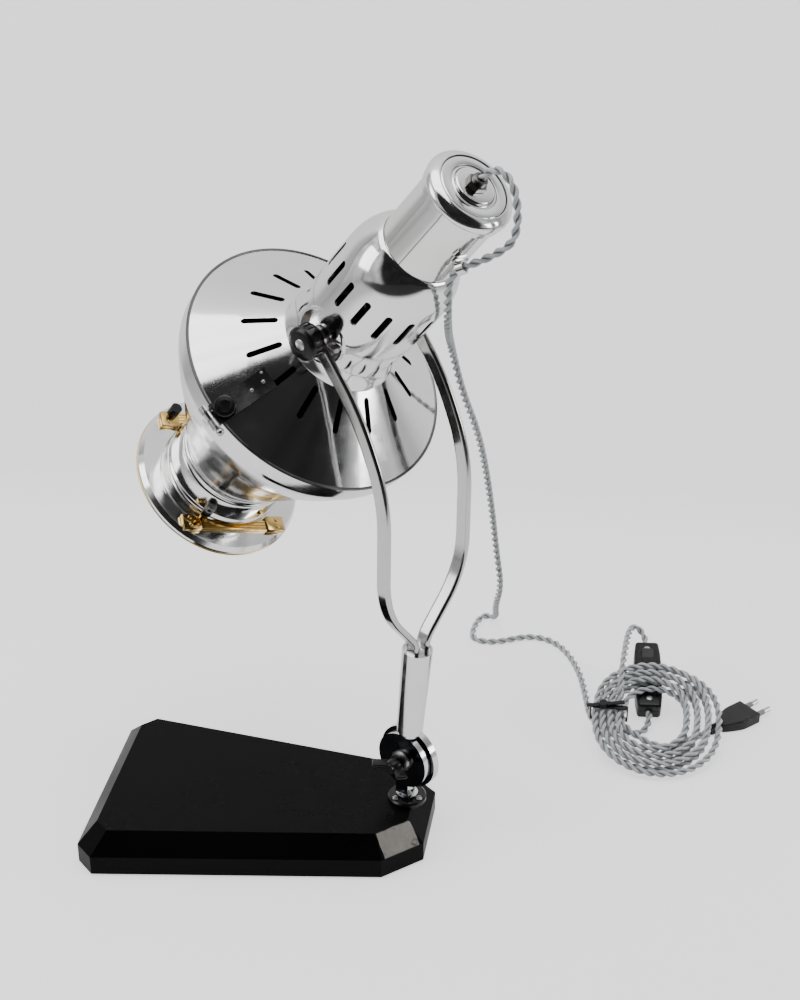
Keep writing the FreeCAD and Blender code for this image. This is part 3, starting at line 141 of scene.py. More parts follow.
class Graph:
    def __init__(self, name):
        self.material = bpy.data.materials.new(name)
        self.material.use_nodes = True
        self.tree = self.material.node_tree
        self.tree.nodes.clear()

    def add(self, kind, settings=None, inputs=None, output=0):
        node = self.tree.nodes.new(kind)
        for name, value in (settings or {}).items():
            if name == "stops":
                ramp = node.color_ramp
                while len(ramp.elements) < len(value):
                    ramp.elements.new(0.5)
                for element, (place, colour) in zip(ramp.elements, value):
                    element.position = place
                    element.color = tuple(colour) + (1.0,)
            else:
                setattr(node, name, value)
        for name, value in (inputs or {}).items():
            if isinstance(value, Field):
                self.tree.links.new(value.socket, node.inputs[name])
            else:
                node.inputs[name].default_value = value
        return Field(self, node.outputs[output])

    def place(self):
        return self.add("ShaderNodeTexCoord", output="Object")

    def joined(self, x, y, z):
        return self.add("ShaderNodeCombineXYZ", inputs={0: x, 1: y, 2: z})

    def noise(self, scale, detail=2.0, roughness=0.5, at=None):
        return self.add("ShaderNodeTexNoise", {}, {
            "Vector": at or self.place(), "Scale": scale, "Detail": detail, "Roughness": roughness})

    def blend(self, factor, first, second):
        return self.add("ShaderNodeMix", {"data_type": "RGBA"},
                        {"Factor": factor, 6: colour4(first), 7: colour4(second)}, 2)

    def bump(self, height, strength, distance):
        return self.add("ShaderNodeBump", {}, {"Height": height, "Strength": strength, "Distance": distance})

    def surface(self, **sockets):
        names = {key.replace("_", " ").title().replace("Ior", "IOR"): value for key, value in sockets.items()}
        shader = self.add("ShaderNodeBsdfPrincipled", {}, names)
        self.add_output(shader)
        return self.material

    def add_output(self, shader):
        output = self.tree.nodes.new("ShaderNodeOutputMaterial")
        self.tree.links.new(shader.socket, output.inputs["Surface"])


def colour4(value):
    # a plain colour with its alpha, or a field as it is
    return value if isinstance(value, Field) or len(value) == 4 else tuple(value) + (1.0,)


# Finishes
def turned_metal(name, colour, low, high, centre, axis, ring=0.05, tarnish=0.0, smear=1.0, seam=None):
    # polished on a lathe: fine rings round the axis, hand smears, a faint tarnish, and painted shade on the
    # inner walls
    graph = Graph(name)
    place = graph.place().less(centre)
    along = place.along(axis)
    length = graph.add("ShaderNodeVectorMath", {"operation": "LENGTH"}, {0: place}, "Value")
    radius = ((length * length) - (along * along)).math("MAXIMUM", 0.0).math("SQRT")
    rings = graph.noise(1.0, 3.0, 0.6, graph.joined(radius * 1500.0, along * 1500.0, 0.0))
    smears = graph.noise(26.0, 4.0, 0.62)
    spots = graph.noise(140.0, 2.0, 0.5)
    marks = (smears.band(0.42, 0.72) * smear).clipped()
    rough = marks * (high - low) + rings * ring + low
    tone = graph.blend(graph.noise(9.0, 3.0, 0.6).band(0.45, 0.75) * tarnish, colour,
                       (colour[0] * 0.82, colour[1] * 0.76, colour[2] * 0.66))
    facing = graph.add("ShaderNodeNewGeometry", output="True Normal")
    outward = (facing.dot(place) - facing.along(axis) * along) / radius.math("MAXIMUM", 0.001)
    level = facing.along(axis).math("ABSOLUTE")
    # painted shade: faces turned in towards the axis are darkened and dulled as the shade inside the shell
    inside = outward.band(-0.05, -0.30) * level.band(0.97, 0.90)
    tone = graph.blend(inside, tone, (0.10, 0.095, 0.09))
    rough = rough * (1.0 - inside) + inside * 0.42
    height = rings * 0.6 + spots * 0.4
    if seam:
        # the rolled joint of the sleeve, a fine dark line along it at one turn
        line = place.along(seam.cross(axis)).math("ABSOLUTE").band(0.0006, 0.0002)
        line = line * place.along(seam).band(0.0, 0.001)
        tone = graph.blend(line * 0.8, tone, (0.10, 0.095, 0.09))
        height = height - line * 3.0
    return graph.surface(base_color=tone, metallic=1.0, roughness=rough,
                         normal=graph.bump(height, 0.12, 0.0002))


def plain_metal(name, colour, low, high, grain=300.0, tarnish=0.3, bump=0.1):
    graph = Graph(name)
    smears = graph.noise(30.0, 4.0, 0.6)
    specks = graph.noise(grain, 3.0, 0.6)
    tone = graph.blend(graph.noise(18.0, 3.0, 0.6).band(0.5, 0.8) * tarnish, colour,
                       (colour[0] * 0.74, colour[1] * 0.68, colour[2] * 0.6))
    rough = smears.band(0.4, 0.75) * (high - low) + specks * 0.04 + low
    return graph.surface(base_color=tone, metallic=1.0, roughness=rough,
                         normal=graph.bump(specks, bump, 0.0002))


def moulded_black(name, colour, low, high, grain=500.0):
    graph = Graph(name)
    smears = graph.noise(40.0, 3.0, 0.6)
    specks = graph.noise(grain, 2.0, 0.5)
    dust = graph.noise(220.0, 2.0, 0.7).band(0.66, 0.8)
    tone = graph.blend(dust * 0.12, colour, (0.22, 0.21, 0.2))
    rough = smears.band(0.35, 0.75) * (high - low) + low
    return graph.surface(base_color=tone, roughness=rough, specular_ior_level=0.35,
                         normal=graph.bump(specks, 0.08, 0.0002))


def base_lacquer():
    # black lacquer, rubbed through to bare metal on the near chamfer by the foot
    graph = Graph("base_lacquer")
    place = graph.place()
    outward = place.along((-0.673, 0.740, 0.0))
    across = place.along((0.740, 0.673, 0.0))
    height = place.along((0.0, 0.0, 1.0))
    ragged = graph.noise(90.0, 4.0, 0.65) * 0.0022
    face = (outward + ragged).band(0.0990, 0.1000)
    sides = ((across + 0.0560).math("ABSOLUTE") + ragged).band(0.0170, 0.0163)
    slope = height.band(0.0172, 0.0182)
    worn = face * sides * slope * graph.noise(60.0, 4.0, 0.7).band(0.30, 0.46)
    smears = graph.noise(14.0, 4.0, 0.6)
    specks = graph.noise(420.0, 3.0, 0.6)
    dust = graph.noise(260.0, 2.0, 0.7).band(0.70, 0.78)
    black = graph.blend(dust * 0.04, (0.0028, 0.0021, 0.0021), (0.10, 0.09, 0.09))
    bare = graph.blend(graph.noise(120.0, 4.0, 0.7), (0.42, 0.40, 0.37), (0.20, 0.19, 0.17))
    rough = (smears.band(0.35, 0.7) * 0.10 + 0.26) * (1.0 - worn) + worn * 0.40
    return graph.surface(base_color=graph.blend(worn, black, bare), metallic=worn * 0.9, roughness=rough,
                         specular_ior_level=0.07,
                         normal=graph.bump(specks * 0.5 + worn * -1.0, 0.12, 0.0003))


def painted_shade_well(name, centre, axis):
    # polished rim round a well painted dark as its shade
    graph = Graph(name)
    place = graph.place().less(centre)
    along = place.along(axis)
    length = graph.add("ShaderNodeVectorMath", {"operation": "LENGTH"}, {0: place}, "Value")
    radius = ((length * length) - (along * along)).math("MAXIMUM", 0.0).math("SQRT")
    # painted shade: the cup's well is darkened as the shade inside it
    well = radius.band(0.0192, 0.0184) * along.math("ABSOLUTE").band(0.0330, 0.0340)
    smears = graph.noise(60.0, 3.0, 0.6).band(0.35, 0.75)
    tone = graph.blend(well, (0.86, 0.86, 0.865), graph.blend(smears, (0.05, 0.046, 0.042), (0.20, 0.18, 0.16)))
    return graph.surface(base_color=tone, metallic=1.0, roughness=smears * 0.14 + well * 0.14 + 0.08,
                         normal=graph.bump(graph.noise(300.0), 0.1, 0.0002))


def disc_with_painted_reflection(name, axis):
    # bright turned edge; the flat faces painted dark, a painted reflection of the dark surroundings
    graph = Graph(name)
    facing = graph.add("ShaderNodeNewGeometry", output="True Normal")
    flat = facing.along(axis).math("ABSOLUTE").band(0.90, 0.97)
    smears = graph.noise(34.0, 4.0, 0.6)
    # painted reflection: the dark colour of the flat faces stands in for the dark surroundings they mirror
    dark = graph.blend(smears.band(0.3, 0.7), (0.050, 0.053, 0.062), (0.085, 0.088, 0.098))
    return graph.surface(base_color=graph.blend(flat, (0.80, 0.80, 0.81), dark), metallic=1.0,
                         roughness=smears.band(0.4, 0.75) * 0.12 + 0.07,
                         normal=graph.bump(graph.noise(300.0, 3.0, 0.6), 0.08, 0.0002))


def felt(name, colour):
    graph = Graph(name)
    fibre = graph.noise(900.0, 4.0, 0.7)
    return graph.surface(base_color=graph.blend(fibre, colour, (0.10, 0.10, 0.10)), roughness=0.95,
                         normal=graph.bump(fibre, 0.5, 0.0006))


def glass(name, colour, roughness, alpha):
    graph = Graph(name)
    smudge = graph.noise(60.0, 3.0, 0.6).band(0.4, 0.8)
    return graph.surface(base_color=colour4(colour), roughness=smudge * 0.05 + roughness,
                         transmission_weight=alpha, ior=1.5)


def glazed(name, colour):
    graph = Graph(name)
    return graph.surface(base_color=graph.blend(graph.noise(40.0), colour, (0.74, 0.72, 0.66)), roughness=0.25)


def braided(name):
    # woven sleeve on each strand, from the strand's own lengthways and round coordinates
    graph = Graph(name)
    woven = graph.add("ShaderNodeTexCoord", output="UV")
    round_it = woven.along((1.0, 0.0, 0.0))
    lengthways = woven.along((0.0, 1.0, 0.0))
    one = (lengthways * 5200.0 + round_it * 25.13).math("SINE")
    two = (lengthways * 5200.0 - round_it * 25.13).math("SINE")
    weave = (one * two * 0.5) + 0.5
    tone = graph.blend(weave.band(0.05, 0.6), (0.34, 0.36, 0.38), (0.83, 0.86, 0.88))
    shade = graph.noise(45.0, 3.0, 0.6).band(0.45, 0.75) * 0.25
    tone = graph.blend(shade, tone, (0.46, 0.48, 0.49))
    # painted shade: the side of each strand that faces the other is darkened, as the shade between them
    valley = graph.add("ShaderNodeAttribute", {"attribute_name": "valley"}, output="Fac")
    return graph.surface(base_color=graph.blend(valley * 0.85, tone, (0.06, 0.065, 0.07)), roughness=0.5,
                         sheen_weight=0.25, normal=graph.bump(weave, 0.4, 0.0004))


head_alu = turned_metal("polished_aluminium", (0.90, 0.90, 0.905), 0.055, 0.16, PIVOT, BEAM, 0.05, 0.25)
sleeve_alu = turned_metal("sleeve_aluminium", (0.89, 0.89, 0.89), 0.07, 0.18, PIVOT, BEAM, 0.05, 0.35,
                          seam=head_way(-10.0))
cup_alu = painted_shade_well("cup_aluminium", PIVOT, SIDE)
chrome = plain_metal("worn_chrome", (0.80, 0.80, 0.81), 0.06, 0.20)
stem_chrome = turned_metal("stem_chrome", (0.82, 0.82, 0.83), 0.08, 0.22, HINGE, UP, 0.06, 0.4)
nickel = plain_metal("arm_nickel", (0.58, 0.575, 0.57), 0.09, 0.24, 240.0, 0.5)
steel = plain_metal("steel", (0.55, 0.54, 0.53), 0.22, 0.40, 400.0, 0.6)
brass = plain_metal("brass", (0.66, 0.45, 0.16), 0.12, 0.28, 300.0, 0.7)
disc_chrome = disc_with_painted_reflection("disc_chrome", SIDE)
dark_chrome = plain_metal("dark_chrome", (0.30, 0.30, 0.31), 0.12, 0.26, 300.0, 0.4)
dark_steel = plain_metal("dark_steel", (0.16, 0.155, 0.15), 0.20, 0.38, 300.0, 0.5)
pale_pin = plain_metal("pale_pin", (0.78, 0.74, 0.66), 0.16, 0.30, 300.0, 0.4)
black_knob = moulded_black("black_knob", (0.006, 0.0055, 0.0055), 0.16, 0.32)
black_cable_part = moulded_black("black_cable_part", (0.009, 0.009, 0.010), 0.22, 0.38)
lacquer = base_lacquer()
felt_pad = felt("felt_pad", (0.03, 0.03, 0.03))
lens_glass = glass("lens_glass", (0.97, 0.98, 0.98), 0.02, 1.0)
bulb_glass = glass("bulb_glass", (0.92, 0.92, 0.90), 0.35, 0.7)
ceramic = glazed("ceramic", (0.82, 0.81, 0.77))
pin_cover = moulded_black("pin_cover", (0.33, 0.33, 0.32), 0.30, 0.45)
flex = braided("flex_cover")

finishes = {
    "base_block": lacquer, "base_pad": felt_pad, "foot_flange": black_knob, "hinge_neck": disc_chrome,
    "swivel_washer": steel, "swivel_nut": steel, "stem_disc": disc_chrome, "stem_tube": stem_chrome,
    "yoke_ferrule": stem_chrome, "hinge_bolt": dark_steel, "friction_washer": black_knob, "hinge_nut": steel,
    "wing_nut": black_knob, "yoke_arm_left": nickel, "yoke_arm_right": nickel, "bowl_housing": head_alu,
    "sleeve": sleeve_alu, "rear_cap": head_alu, "end_plate": head_alu, "gland_nut": dark_steel,
    "lamp_holder": ceramic, "bulb": bulb_glass, "pivot_cup_left": cup_alu, "pivot_cup_right": cup_alu,
    "pivot_stud_left": steel, "pivot_stud_right": steel, "pivot_knob_left": black_knob,
    "pivot_knob_right": black_knob, "dome_cover": head_alu, "dome_hinge": dark_chrome, "rim_pin": steel,
    "hinge_knob": black_knob, "drum_hinge": chrome, "drum_shell": head_alu, "front_collar": head_alu,
    "lens": lens_glass, "front_flange": head_alu, "brass_ring": brass, "slide_rail_lower": brass,
    "slide_rail_upper": brass, "rail_knob": black_knob, "catch_block": dark_steel, "catch_screw": brass,
    "drum_tab": chrome, "cord_clip": chrome, "cord_tie": black_cable_part,
    "switch_body": black_cable_part, "switch_rocker": black_knob, "plug_body": black_cable_part,
    "plug_pin_left": pale_pin, "plug_pin_right": pale_pin}
for name, finish in finishes.items():
    slots = nodes[name].data.materials
    slots.clear()
    slots.append(finish)


# Free cord: two braided strands twisted round each route
CORD = 0.006
STRAND = 0.00156
STRAND_SIDES = 10
TWIST = 0.018
STEPS_PER_TWIST = 12.0


def route_line(name, points):
    # the route's spline as closely spaced points, read from a curve with no bevel
    curve = bpy.data.curves.new(name + "_route", "CURVE")
    curve.dimensions = "3D"
    curve.resolution_u = 14
    spline = curve.splines.new("NURBS")
    spline.points.add(len(points) - 1)
    for point, spot in zip(spline.points, points):
        point.co = (spot[0] * MM, spot[1] * MM, spot[2] * MM, 1.0)
    spline.order_u = 3
    spline.use_endpoint_u = True
    holder = bpy.data.objects.new(name + "_route", curve)
    bpy.context.scene.collection.objects.link(holder)
    bpy.context.view_layer.update()
    mesh = bpy.data.meshes.new_from_object(holder)
    line = [vertex.co.copy() for vertex in mesh.vertices]
    bpy.data.meshes.remove(mesh)
    bpy.data.objects.remove(holder)
    bpy.data.curves.remove(curve)
    return line


def even_line(line, step):
    # the same line with even steps
    spots = [line[0].copy()]
    left = step
    for start, end in zip(line[:-1], line[1:]):
        run = (end - start).length
        while run >= left and run > 0.0:
            start = start + (end - start) * (left / run)
            spots.append(start.copy())
            run = (end - start).length
            left = step
        left -= run
    if (spots[-1] - line[-1]).length > step * 0.3:
        spots.append(line[-1].copy())
    else:
        spots[-1] = line[-1].copy()
    return spots


def twisted_pair(name, points, body, first_side=(1.0, 0.0, 0.0)):
    # returns the piece, its line and length, and the way the first strand points at both ends
    line = even_line(route_line(name, points), TWIST / STEPS_PER_TWIST)
    side = Vector(first_side)
    rings = []
    travelled = 0.0
    for index, spot in enumerate(line):
        ahead = line[min(index + 1, len(line) - 1)] - line[max(index - 1, 0)]
        ahead.normalize()
        side = side - ahead * side.dot(ahead)
        side.normalize()
        if index:
            travelled += (spot - line[index - 1]).length
        turn = Matrix.Rotation(travelled / TWIST * 2.0 * math.pi, 3, ahead)
        rings.append((spot, ahead, turn @ side, travelled))
    mesh = bpy.data.meshes.new(name)
    shape = bmesh.new()
    woven = shape.loops.layers.uv.new("woven")
    # painted shade: each vertex keeps how far it faces the other strand, for the painted shade between the
    # strands
    valley = shape.verts.layers.float.new("valley")
    for hand in (1.0, -1.0):
        loops = []
        for spot, ahead, out, run in rings:
            centre = spot + out * hand * (CORD / 2.0 - STRAND)
            across = ahead.cross(out)
            ring = []
            for k in range(STRAND_SIDES):
                a = 2.0 * math.pi * k / STRAND_SIDES
                vertex = shape.verts.new(centre + (out * math.cos(a) + across * math.sin(a)) * STRAND)
                vertex[valley] = max(0.0, -math.cos(a) * hand)
                ring.append(vertex)
            loops.append((ring, run))
        for (low, start), (high, end) in zip(loops[:-1], loops[1:]):
            for k in range(STRAND_SIDES):
                after = (k + 1) % STRAND_SIDES
                face = shape.faces.new((low[k], low[after], high[after], high[k]))
                face.smooth = True
                for loop, (u, v) in zip(face.loops, ((k, start), (k + 1, start), (k + 1, end), (k, end))):
                    loop[woven].uv = (u / STRAND_SIDES, v)
        shape.faces.new(reversed(loops[0][0]))
        shape.faces.new(loops[-1][0])
    shape.to_mesh(mesh)
    shape.free()
    mesh.materials.append(flex)
    pair = bpy.data.objects.new(name, mesh)
    bpy.context.scene.collection.objects.link(pair)
    length = sum((b - a).length for a, b in zip(line[:-1], line[1:]))
    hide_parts(name.replace("_flex", ""))
    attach(pair, body)
    return pair, line, length, rings[0][2], rings[-1][2]


def millimetres(point):
    return tuple(value / MM for value in point)


CLIP = millimetres(head_point(10.4, -33.95, -117.0))
ENTRY = (-181.0, 40.0, 507.0)
clip_run = (Vector(CLIP) - Vector(ENTRY)).normalized()
GLAND = millimetres(head_point(0.0, 0.0, -164.1))
DROP = Vector((-0.0606, -0.4025, -0.9133)).normalized()
DROP_TOP = Vector((-153.6, -234.0, 122.0))
SPLIT = DROP_TOP + DROP * 24.0
FLOOR = 3.1
END_GAP = 0.3

# Routes of the cord in millimetres, from the gland to the plug
loop_route = [
    GLAND, tuple(Vector(GLAND) - BEAM * 15.0), (-187.0, 40.0, 553.0), (-190.0, 41.0, 523.0), ENTRY, CLIP]
hang_route = [
    CLIP, tuple(Vector(CLIP) + clip_run * 12.0), (-143.4, 26.0, 461.0), (-140.2, 0.0, 433.0),
    (-134.2, -62.0, 394.0), (-138.5, -93.0, 344.0), (-147.0, -132.0, 290.0), (-150.5, -174.0, 229.0),
    (-152.3, -210.0, 169.0), tuple(DROP_TOP), tuple(SPLIT)]

COIL_LEFT, COIL_RIGHT, COIL_NEAR = -251.6, -351.7, -102.0
COIL_TILT = math.radians(14.04)
COIL_TURNS = 4
LEFT_PITCH, RIGHT_PITCH = 6.5, 9.0
LAYER_HEIGHT, LAYER_SHIFT = 6.5, 3.2
HALF_WIDTH = 50.05
FAR = 116.0 - HALF_WIDTH
DEPTH = Vector((0.0, -math.cos(COIL_TILT), math.sin(COIL_TILT)))
LAYER = Vector((0.0, math.sin(COIL_TILT), math.cos(COIL_TILT)))


def coil_point(x, depth, layer):
    return Vector((x, COIL_NEAR, FLOOR)) + DEPTH * depth + LAYER * (layer * LAYER_HEIGHT)


def left_at(index, layer=0):
    return COIL_LEFT - index * LEFT_PITCH + layer * LAYER_SHIFT


def right_at(index):
    return COIL_RIGHT + index * RIGHT_PITCH


def half_loop(start, end, direction):
    # control points of a half turn from start to end, bulging along direction, 30 degrees apart
    centre = (start + end) / 2.0
    arm = start - centre
    reach = arm.length
    grow = 1.0 / math.cos(math.radians(15.0))
    points = []
    for step in range(6):
        angle = math.radians(15.0 + 30.0 * step)
        points.append(centre + arm * math.cos(angle) * grow + direction * reach * math.sin(angle) * grow)
    return points


inner = COIL_TURNS - 1
coil_start = coil_point(left_at(inner), HALF_WIDTH + 6.0, 0)
coil_end = coil_point(left_at(inner, 1), FAR - 2.0, 1)
coil_route = [coil_start]
for index in range(inner, -1, -1):
    coil_route += half_loop(coil_point(left_at(index), FAR, 0), coil_point(right_at(index), FAR, 0), DEPTH)
    if index:
        coil_route += half_loop(coil_point(right_at(index), HALF_WIDTH, 0),
                                coil_point(left_at(index - 1), HALF_WIDTH, 0), -DEPTH)
coil_route += half_loop(coil_point(right_at(0), HALF_WIDTH, 0),
                        coil_point(left_at(0, 1), HALF_WIDTH, 1), -DEPTH)
for index in range(inner):
    coil_route += half_loop(coil_point(left_at(index, 1), FAR, 1),
                            coil_point(right_at(index + 1), FAR, 1), DEPTH)
    coil_route += half_loop(coil_point(right_at(index + 1), HALF_WIDTH, 1),
                            coil_point(left_at(index + 1, 1), HALF_WIDTH, 1), -DEPTH)
coil_route.append(coil_end)

SWITCH_AXIS = Vector((7.0, -71.0, 18.8)).normalized()
SWITCH_NEAR = Vector((-293.0, -180.0, 9.2))
SWITCH_LENGTH = 74.0
SWITCH_FAR = SWITCH_NEAR + SWITCH_AXIS * SWITCH_LENGTH
floor_route = [
    tuple(SPLIT + DROP * END_GAP), tuple(SPLIT + DROP * 26.0), (-148.5, -283.0, 37.0), (-147.0, -318.0, FLOOR),
    (-134.0, -321.0, FLOOR), (-128.0, -299.0, FLOOR), (-129.0, -277.0, FLOOR), (-152.0, -276.0, FLOOR),
    (-178.0, -292.0, FLOOR), (-201.0, -288.0, FLOOR), (-218.0, -268.0, FLOOR), (-231.0, -236.0, FLOOR),
    (-238.5, -200.0, FLOOR), (-245.0, -168.0, FLOOR), (-267.0, -156.0, FLOOR),
    tuple(SWITCH_NEAR - SWITCH_AXIS * 24.0), tuple(SWITCH_NEAR - SWITCH_AXIS * END_GAP)]
arch_route = [
    tuple(coil_end + DEPTH * END_GAP), tuple(coil_point(left_at(inner, 1), FAR + 3.0, 1)),
    tuple(coil_point(left_at(inner, 1), FAR + 15.0, 1) + LAYER * 8.0),
    tuple(coil_point(left_at(inner, 1), FAR + HALF_WIDTH - 4.0, 1) + LAYER * 8.0),
    tuple(SWITCH_FAR + SWITCH_AXIS * 17.0 + Vector((14.0, 0.0, 9.0))), tuple(SWITCH_FAR + SWITCH_AXIS * 16.0),
    tuple(SWITCH_FAR + SWITCH_AXIS * END_GAP)]
PLUG_BACK = Vector((0.70, 0.714, 0.0)).normalized()
PLUG_FACE = Vector((-378.0, -201.5, 4.8))
PLUG_LENGTH = 48.3
plug_end = PLUG_FACE + PLUG_BACK * PLUG_LENGTH
tail_route = [
    tuple(plug_end), tuple(plug_end + PLUG_BACK * 14.0), (-306.0, -131.0, 6.0),
    tuple(coil_point(left_at(inner), HALF_WIDTH - 2.0, 0)), tuple(coil_start - DEPTH * END_GAP)]

loop_flex = twisted_pair("cord_loop_flex", loop_route, "head")
hang_flex = twisted_pair("cord_hang_flex", hang_route[::-1], "head")
floor_flex = twisted_pair("cord_floor_flex", floor_route, "base")
coil_flex = twisted_pair("cord_coil_flex", coil_route, "base")
arch_flex = twisted_pair("cord_arch_flex", arch_route, "base", coil_flex[4])
tail_flex = twisted_pair("cord_tail_flex", tail_route[::-1], "base", coil_flex[3])


# Bench helpers: a primitive is placed, shaped in edit mode, and finished
def alone(piece=None):
    bpy.ops.object.select_all(action="DESELECT")
    if piece:
        piece.select_set(True)
        bpy.context.view_layer.objects.active = piece


def edit(piece):
    alone(piece)
    bpy.ops.object.mode_set(mode="EDIT")
    bpy.ops.mesh.select_mode(type="FACE")


def done():
    bpy.ops.object.mode_set(mode="OBJECT")


def pick_faces(piece, wanted):
    shape = bmesh.from_edit_mesh(piece.data)
    for part in list(shape.verts) + list(shape.edges) + list(shape.faces):
        part.select = False
    for face in shape.faces:
        if wanted(face.calc_center_median(), face.normal):
            face.select_set(True)
    shape.select_flush_mode()
    bmesh.update_edit_mesh(piece.data)


def turned(name, profile, centre, axis, steps=96, closed=True):
    # a profile of radius and place along the axis, in millimetres, spun round the axis
    axis = Vector(axis).normalized()
    out = axis.orthogonal().normalized()
    spots = [centre + (out * radius + axis * along) * MM for radius, along in profile]
    alone()
    bpy.ops.mesh.primitive_plane_add(size=0.001, location=spots[0])
    piece = bpy.context.object
    piece.name = name
    bpy.ops.object.mode_set(mode="EDIT")
    bpy.ops.mesh.select_mode(type="VERT")
    bpy.ops.mesh.select_all(action="SELECT")
    bpy.ops.mesh.merge(type="CENTER")
    ends = spots[1:] + (spots[:1] if closed else [])
    for low, high in zip(spots, ends):
        bpy.ops.mesh.extrude_vertices_move(TRANSFORM_OT_translate={"value": tuple(high - low)})
    bpy.ops.mesh.select_all(action="SELECT")
    bpy.ops.mesh.spin(steps=steps, angle=2.0 * math.pi, center=tuple(centre), axis=tuple(axis))
    bpy.ops.mesh.select_all(action="SELECT")
    bpy.ops.mesh.remove_doubles(threshold=0.00002)
    bpy.ops.mesh.normals_make_consistent(inside=False)
    done()
    return piece


def finish_piece(piece, finish, body, stands_for=(), smooth=40.0):
    alone(piece)
    bpy.ops.object.transform_apply(location=True, rotation=True, scale=True)
    bpy.ops.object.shade_smooth_by_angle(angle=math.radians(smooth))
    piece.data.materials.clear()
    piece.data.materials.append(finish)
    if stands_for:
        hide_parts(*stands_for)
    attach(piece, body)
    return piece


def cut(piece, cutters):
    # takes the cutters out of the piece, one joined tool at a time
    alone(cutters[0])
    for cutter in cutters:
        cutter.select_set(True)
    if len(cutters) > 1:
        bpy.ops.object.join()
    tool = bpy.context.view_layer.objects.active
    alone(piece)
    modifier = piece.modifiers.new("cut", "BOOLEAN")
    modifier.operation = "DIFFERENCE"
    modifier.solver = "EXACT"
    modifier.object = tool
    bpy.ops.object.modifier_apply(modifier=modifier.name)
    bpy.data.objects.remove(tool)


def bar(name, centre, along, out, size):
    # a box placed with its length along one direction and its height along another
    along = Vector(along).normalized()
    out = (Vector(out) - along * Vector(out).dot(along)).normalized()
    turn = Matrix((along, out.cross(along), out)).transposed()
    alone()
    bpy.ops.mesh.primitive_cube_add(size=1.0, location=centre, rotation=turn.to_euler())
    piece = bpy.context.object
    piece.name = name
    piece.scale = tuple(value * MM for value in size)
    alone(piece)
    bpy.ops.object.transform_apply(location=True, rotation=True, scale=True)
    return piece


def soften(piece, width, segments=2, limit=35.0):
    alone(piece)
    modifier = piece.modifiers.new("soften", "BEVEL")
    modifier.width = width * MM
    modifier.segments = segments
    modifier.limit_method = "ANGLE"
    modifier.angle_limit = math.radians(limit)
    bpy.ops.object.modifier_apply(modifier=modifier.name)


def slotted_screw(name, place, axis, radius, height, slot_way, finish, body):
    axis = Vector(axis).normalized()
    head = turned(name, [
        (0.0, -0.3), (radius, -0.3), (radius, height * 0.4), (radius * 0.82, height * 0.78),
        (radius * 0.45, height * 0.96), (0.0, height)], place, axis, 28, closed=False)
    cutter = bar(name + "_slot", place + axis * height * MM, slot_way, axis,
                 (radius * 2.6, radius * 0.34, height * 0.9))
    cut(head, [cutter])
    return finish_piece(head, finish, body)


def fluted(name, profile, centre, axis, flutes, depth, low, high):
    # a turned grip whose side faces between low and high are pressed in, every second one
    piece = turned(name, profile, centre, axis, flutes * 2)
    axis = Vector(axis).normalized()
    out = axis.orthogonal().normalized()
    across = axis.cross(out)
    edit(piece)

    def grip(middle, normal):
        arm = middle - centre
        along = arm.dot(axis) / MM
        if abs(normal.dot(axis)) > 0.3 or not low < along < high or normal.dot(arm) < 0.0:
            return False
        turn = math.atan2(arm.dot(across), arm.dot(out)) / math.pi * flutes
        return int(math.floor(turn)) % 2 == 0

    piece_place = piece.location.copy()
    pick_faces(piece, lambda middle, normal: grip(middle + piece_place, normal))
    bpy.ops.mesh.inset(thickness=0.0002, depth=-depth * MM, use_individual=True)
    done()
    return piece


# Head: rounded cap, raised end disc, gland, bowl, front drum and collar
cap = turned("cap_shell", [
    (29.8, -146.6), (31.3, -146.7), (31.75, -147.4), (31.8, -148.6), (31.5, -150.2), (30.7, -151.7),
    (29.4, -153.0), (27.8, -154.1), (26.2, -154.8), (25.3, -155.1), (24.75, -155.0), (24.6, -154.4),
    (24.6, -152.6), (28.2, -150.2), (29.6, -148.4)], PIVOT, BEAM)
finish_piece(cap, head_alu, "head", ["rear_cap"])
plate = turned("raised_end_disc", [
    (3.1, -152.7), (24.2, -152.7), (24.3, -154.2), (23.9, -154.6), (23.0, -154.75), (17.6, -154.75),
    (17.2, -154.6), (16.8, -154.0), (16.0, -153.9), (15.2, -154.2), (14.7, -155.0), (14.3, -155.9),
    (13.7, -156.45), (12.9, -156.6), (7.6, -156.6), (3.1, -156.6)], PIVOT, BEAM)
finish_piece(plate, head_alu, "head", ["end_plate"])
hexagon = turned("gland_hexagon", [
    (3.05, -156.7), (7.0, -156.7), (7.4, -157.1), (7.4, -159.9), (6.7, -160.5), (3.05, -160.5)], PIVOT, BEAM, 6)
finish_piece(hexagon, dark_steel, "head", smooth=20.0)
thread = [(3.05, -160.4), (5.2, -160.4)]
for ridge in range(4):
    thread += [(5.3, -160.7 - ridge * 0.8), (4.8, -161.1 - ridge * 0.8)]
thread += [(4.9, -163.8), (4.4, -164.1), (3.05, -164.1)]
finish_piece(turned("gland_thread", thread, PIVOT, BEAM, 40), dark_steel, "head", ["gland_nut"])

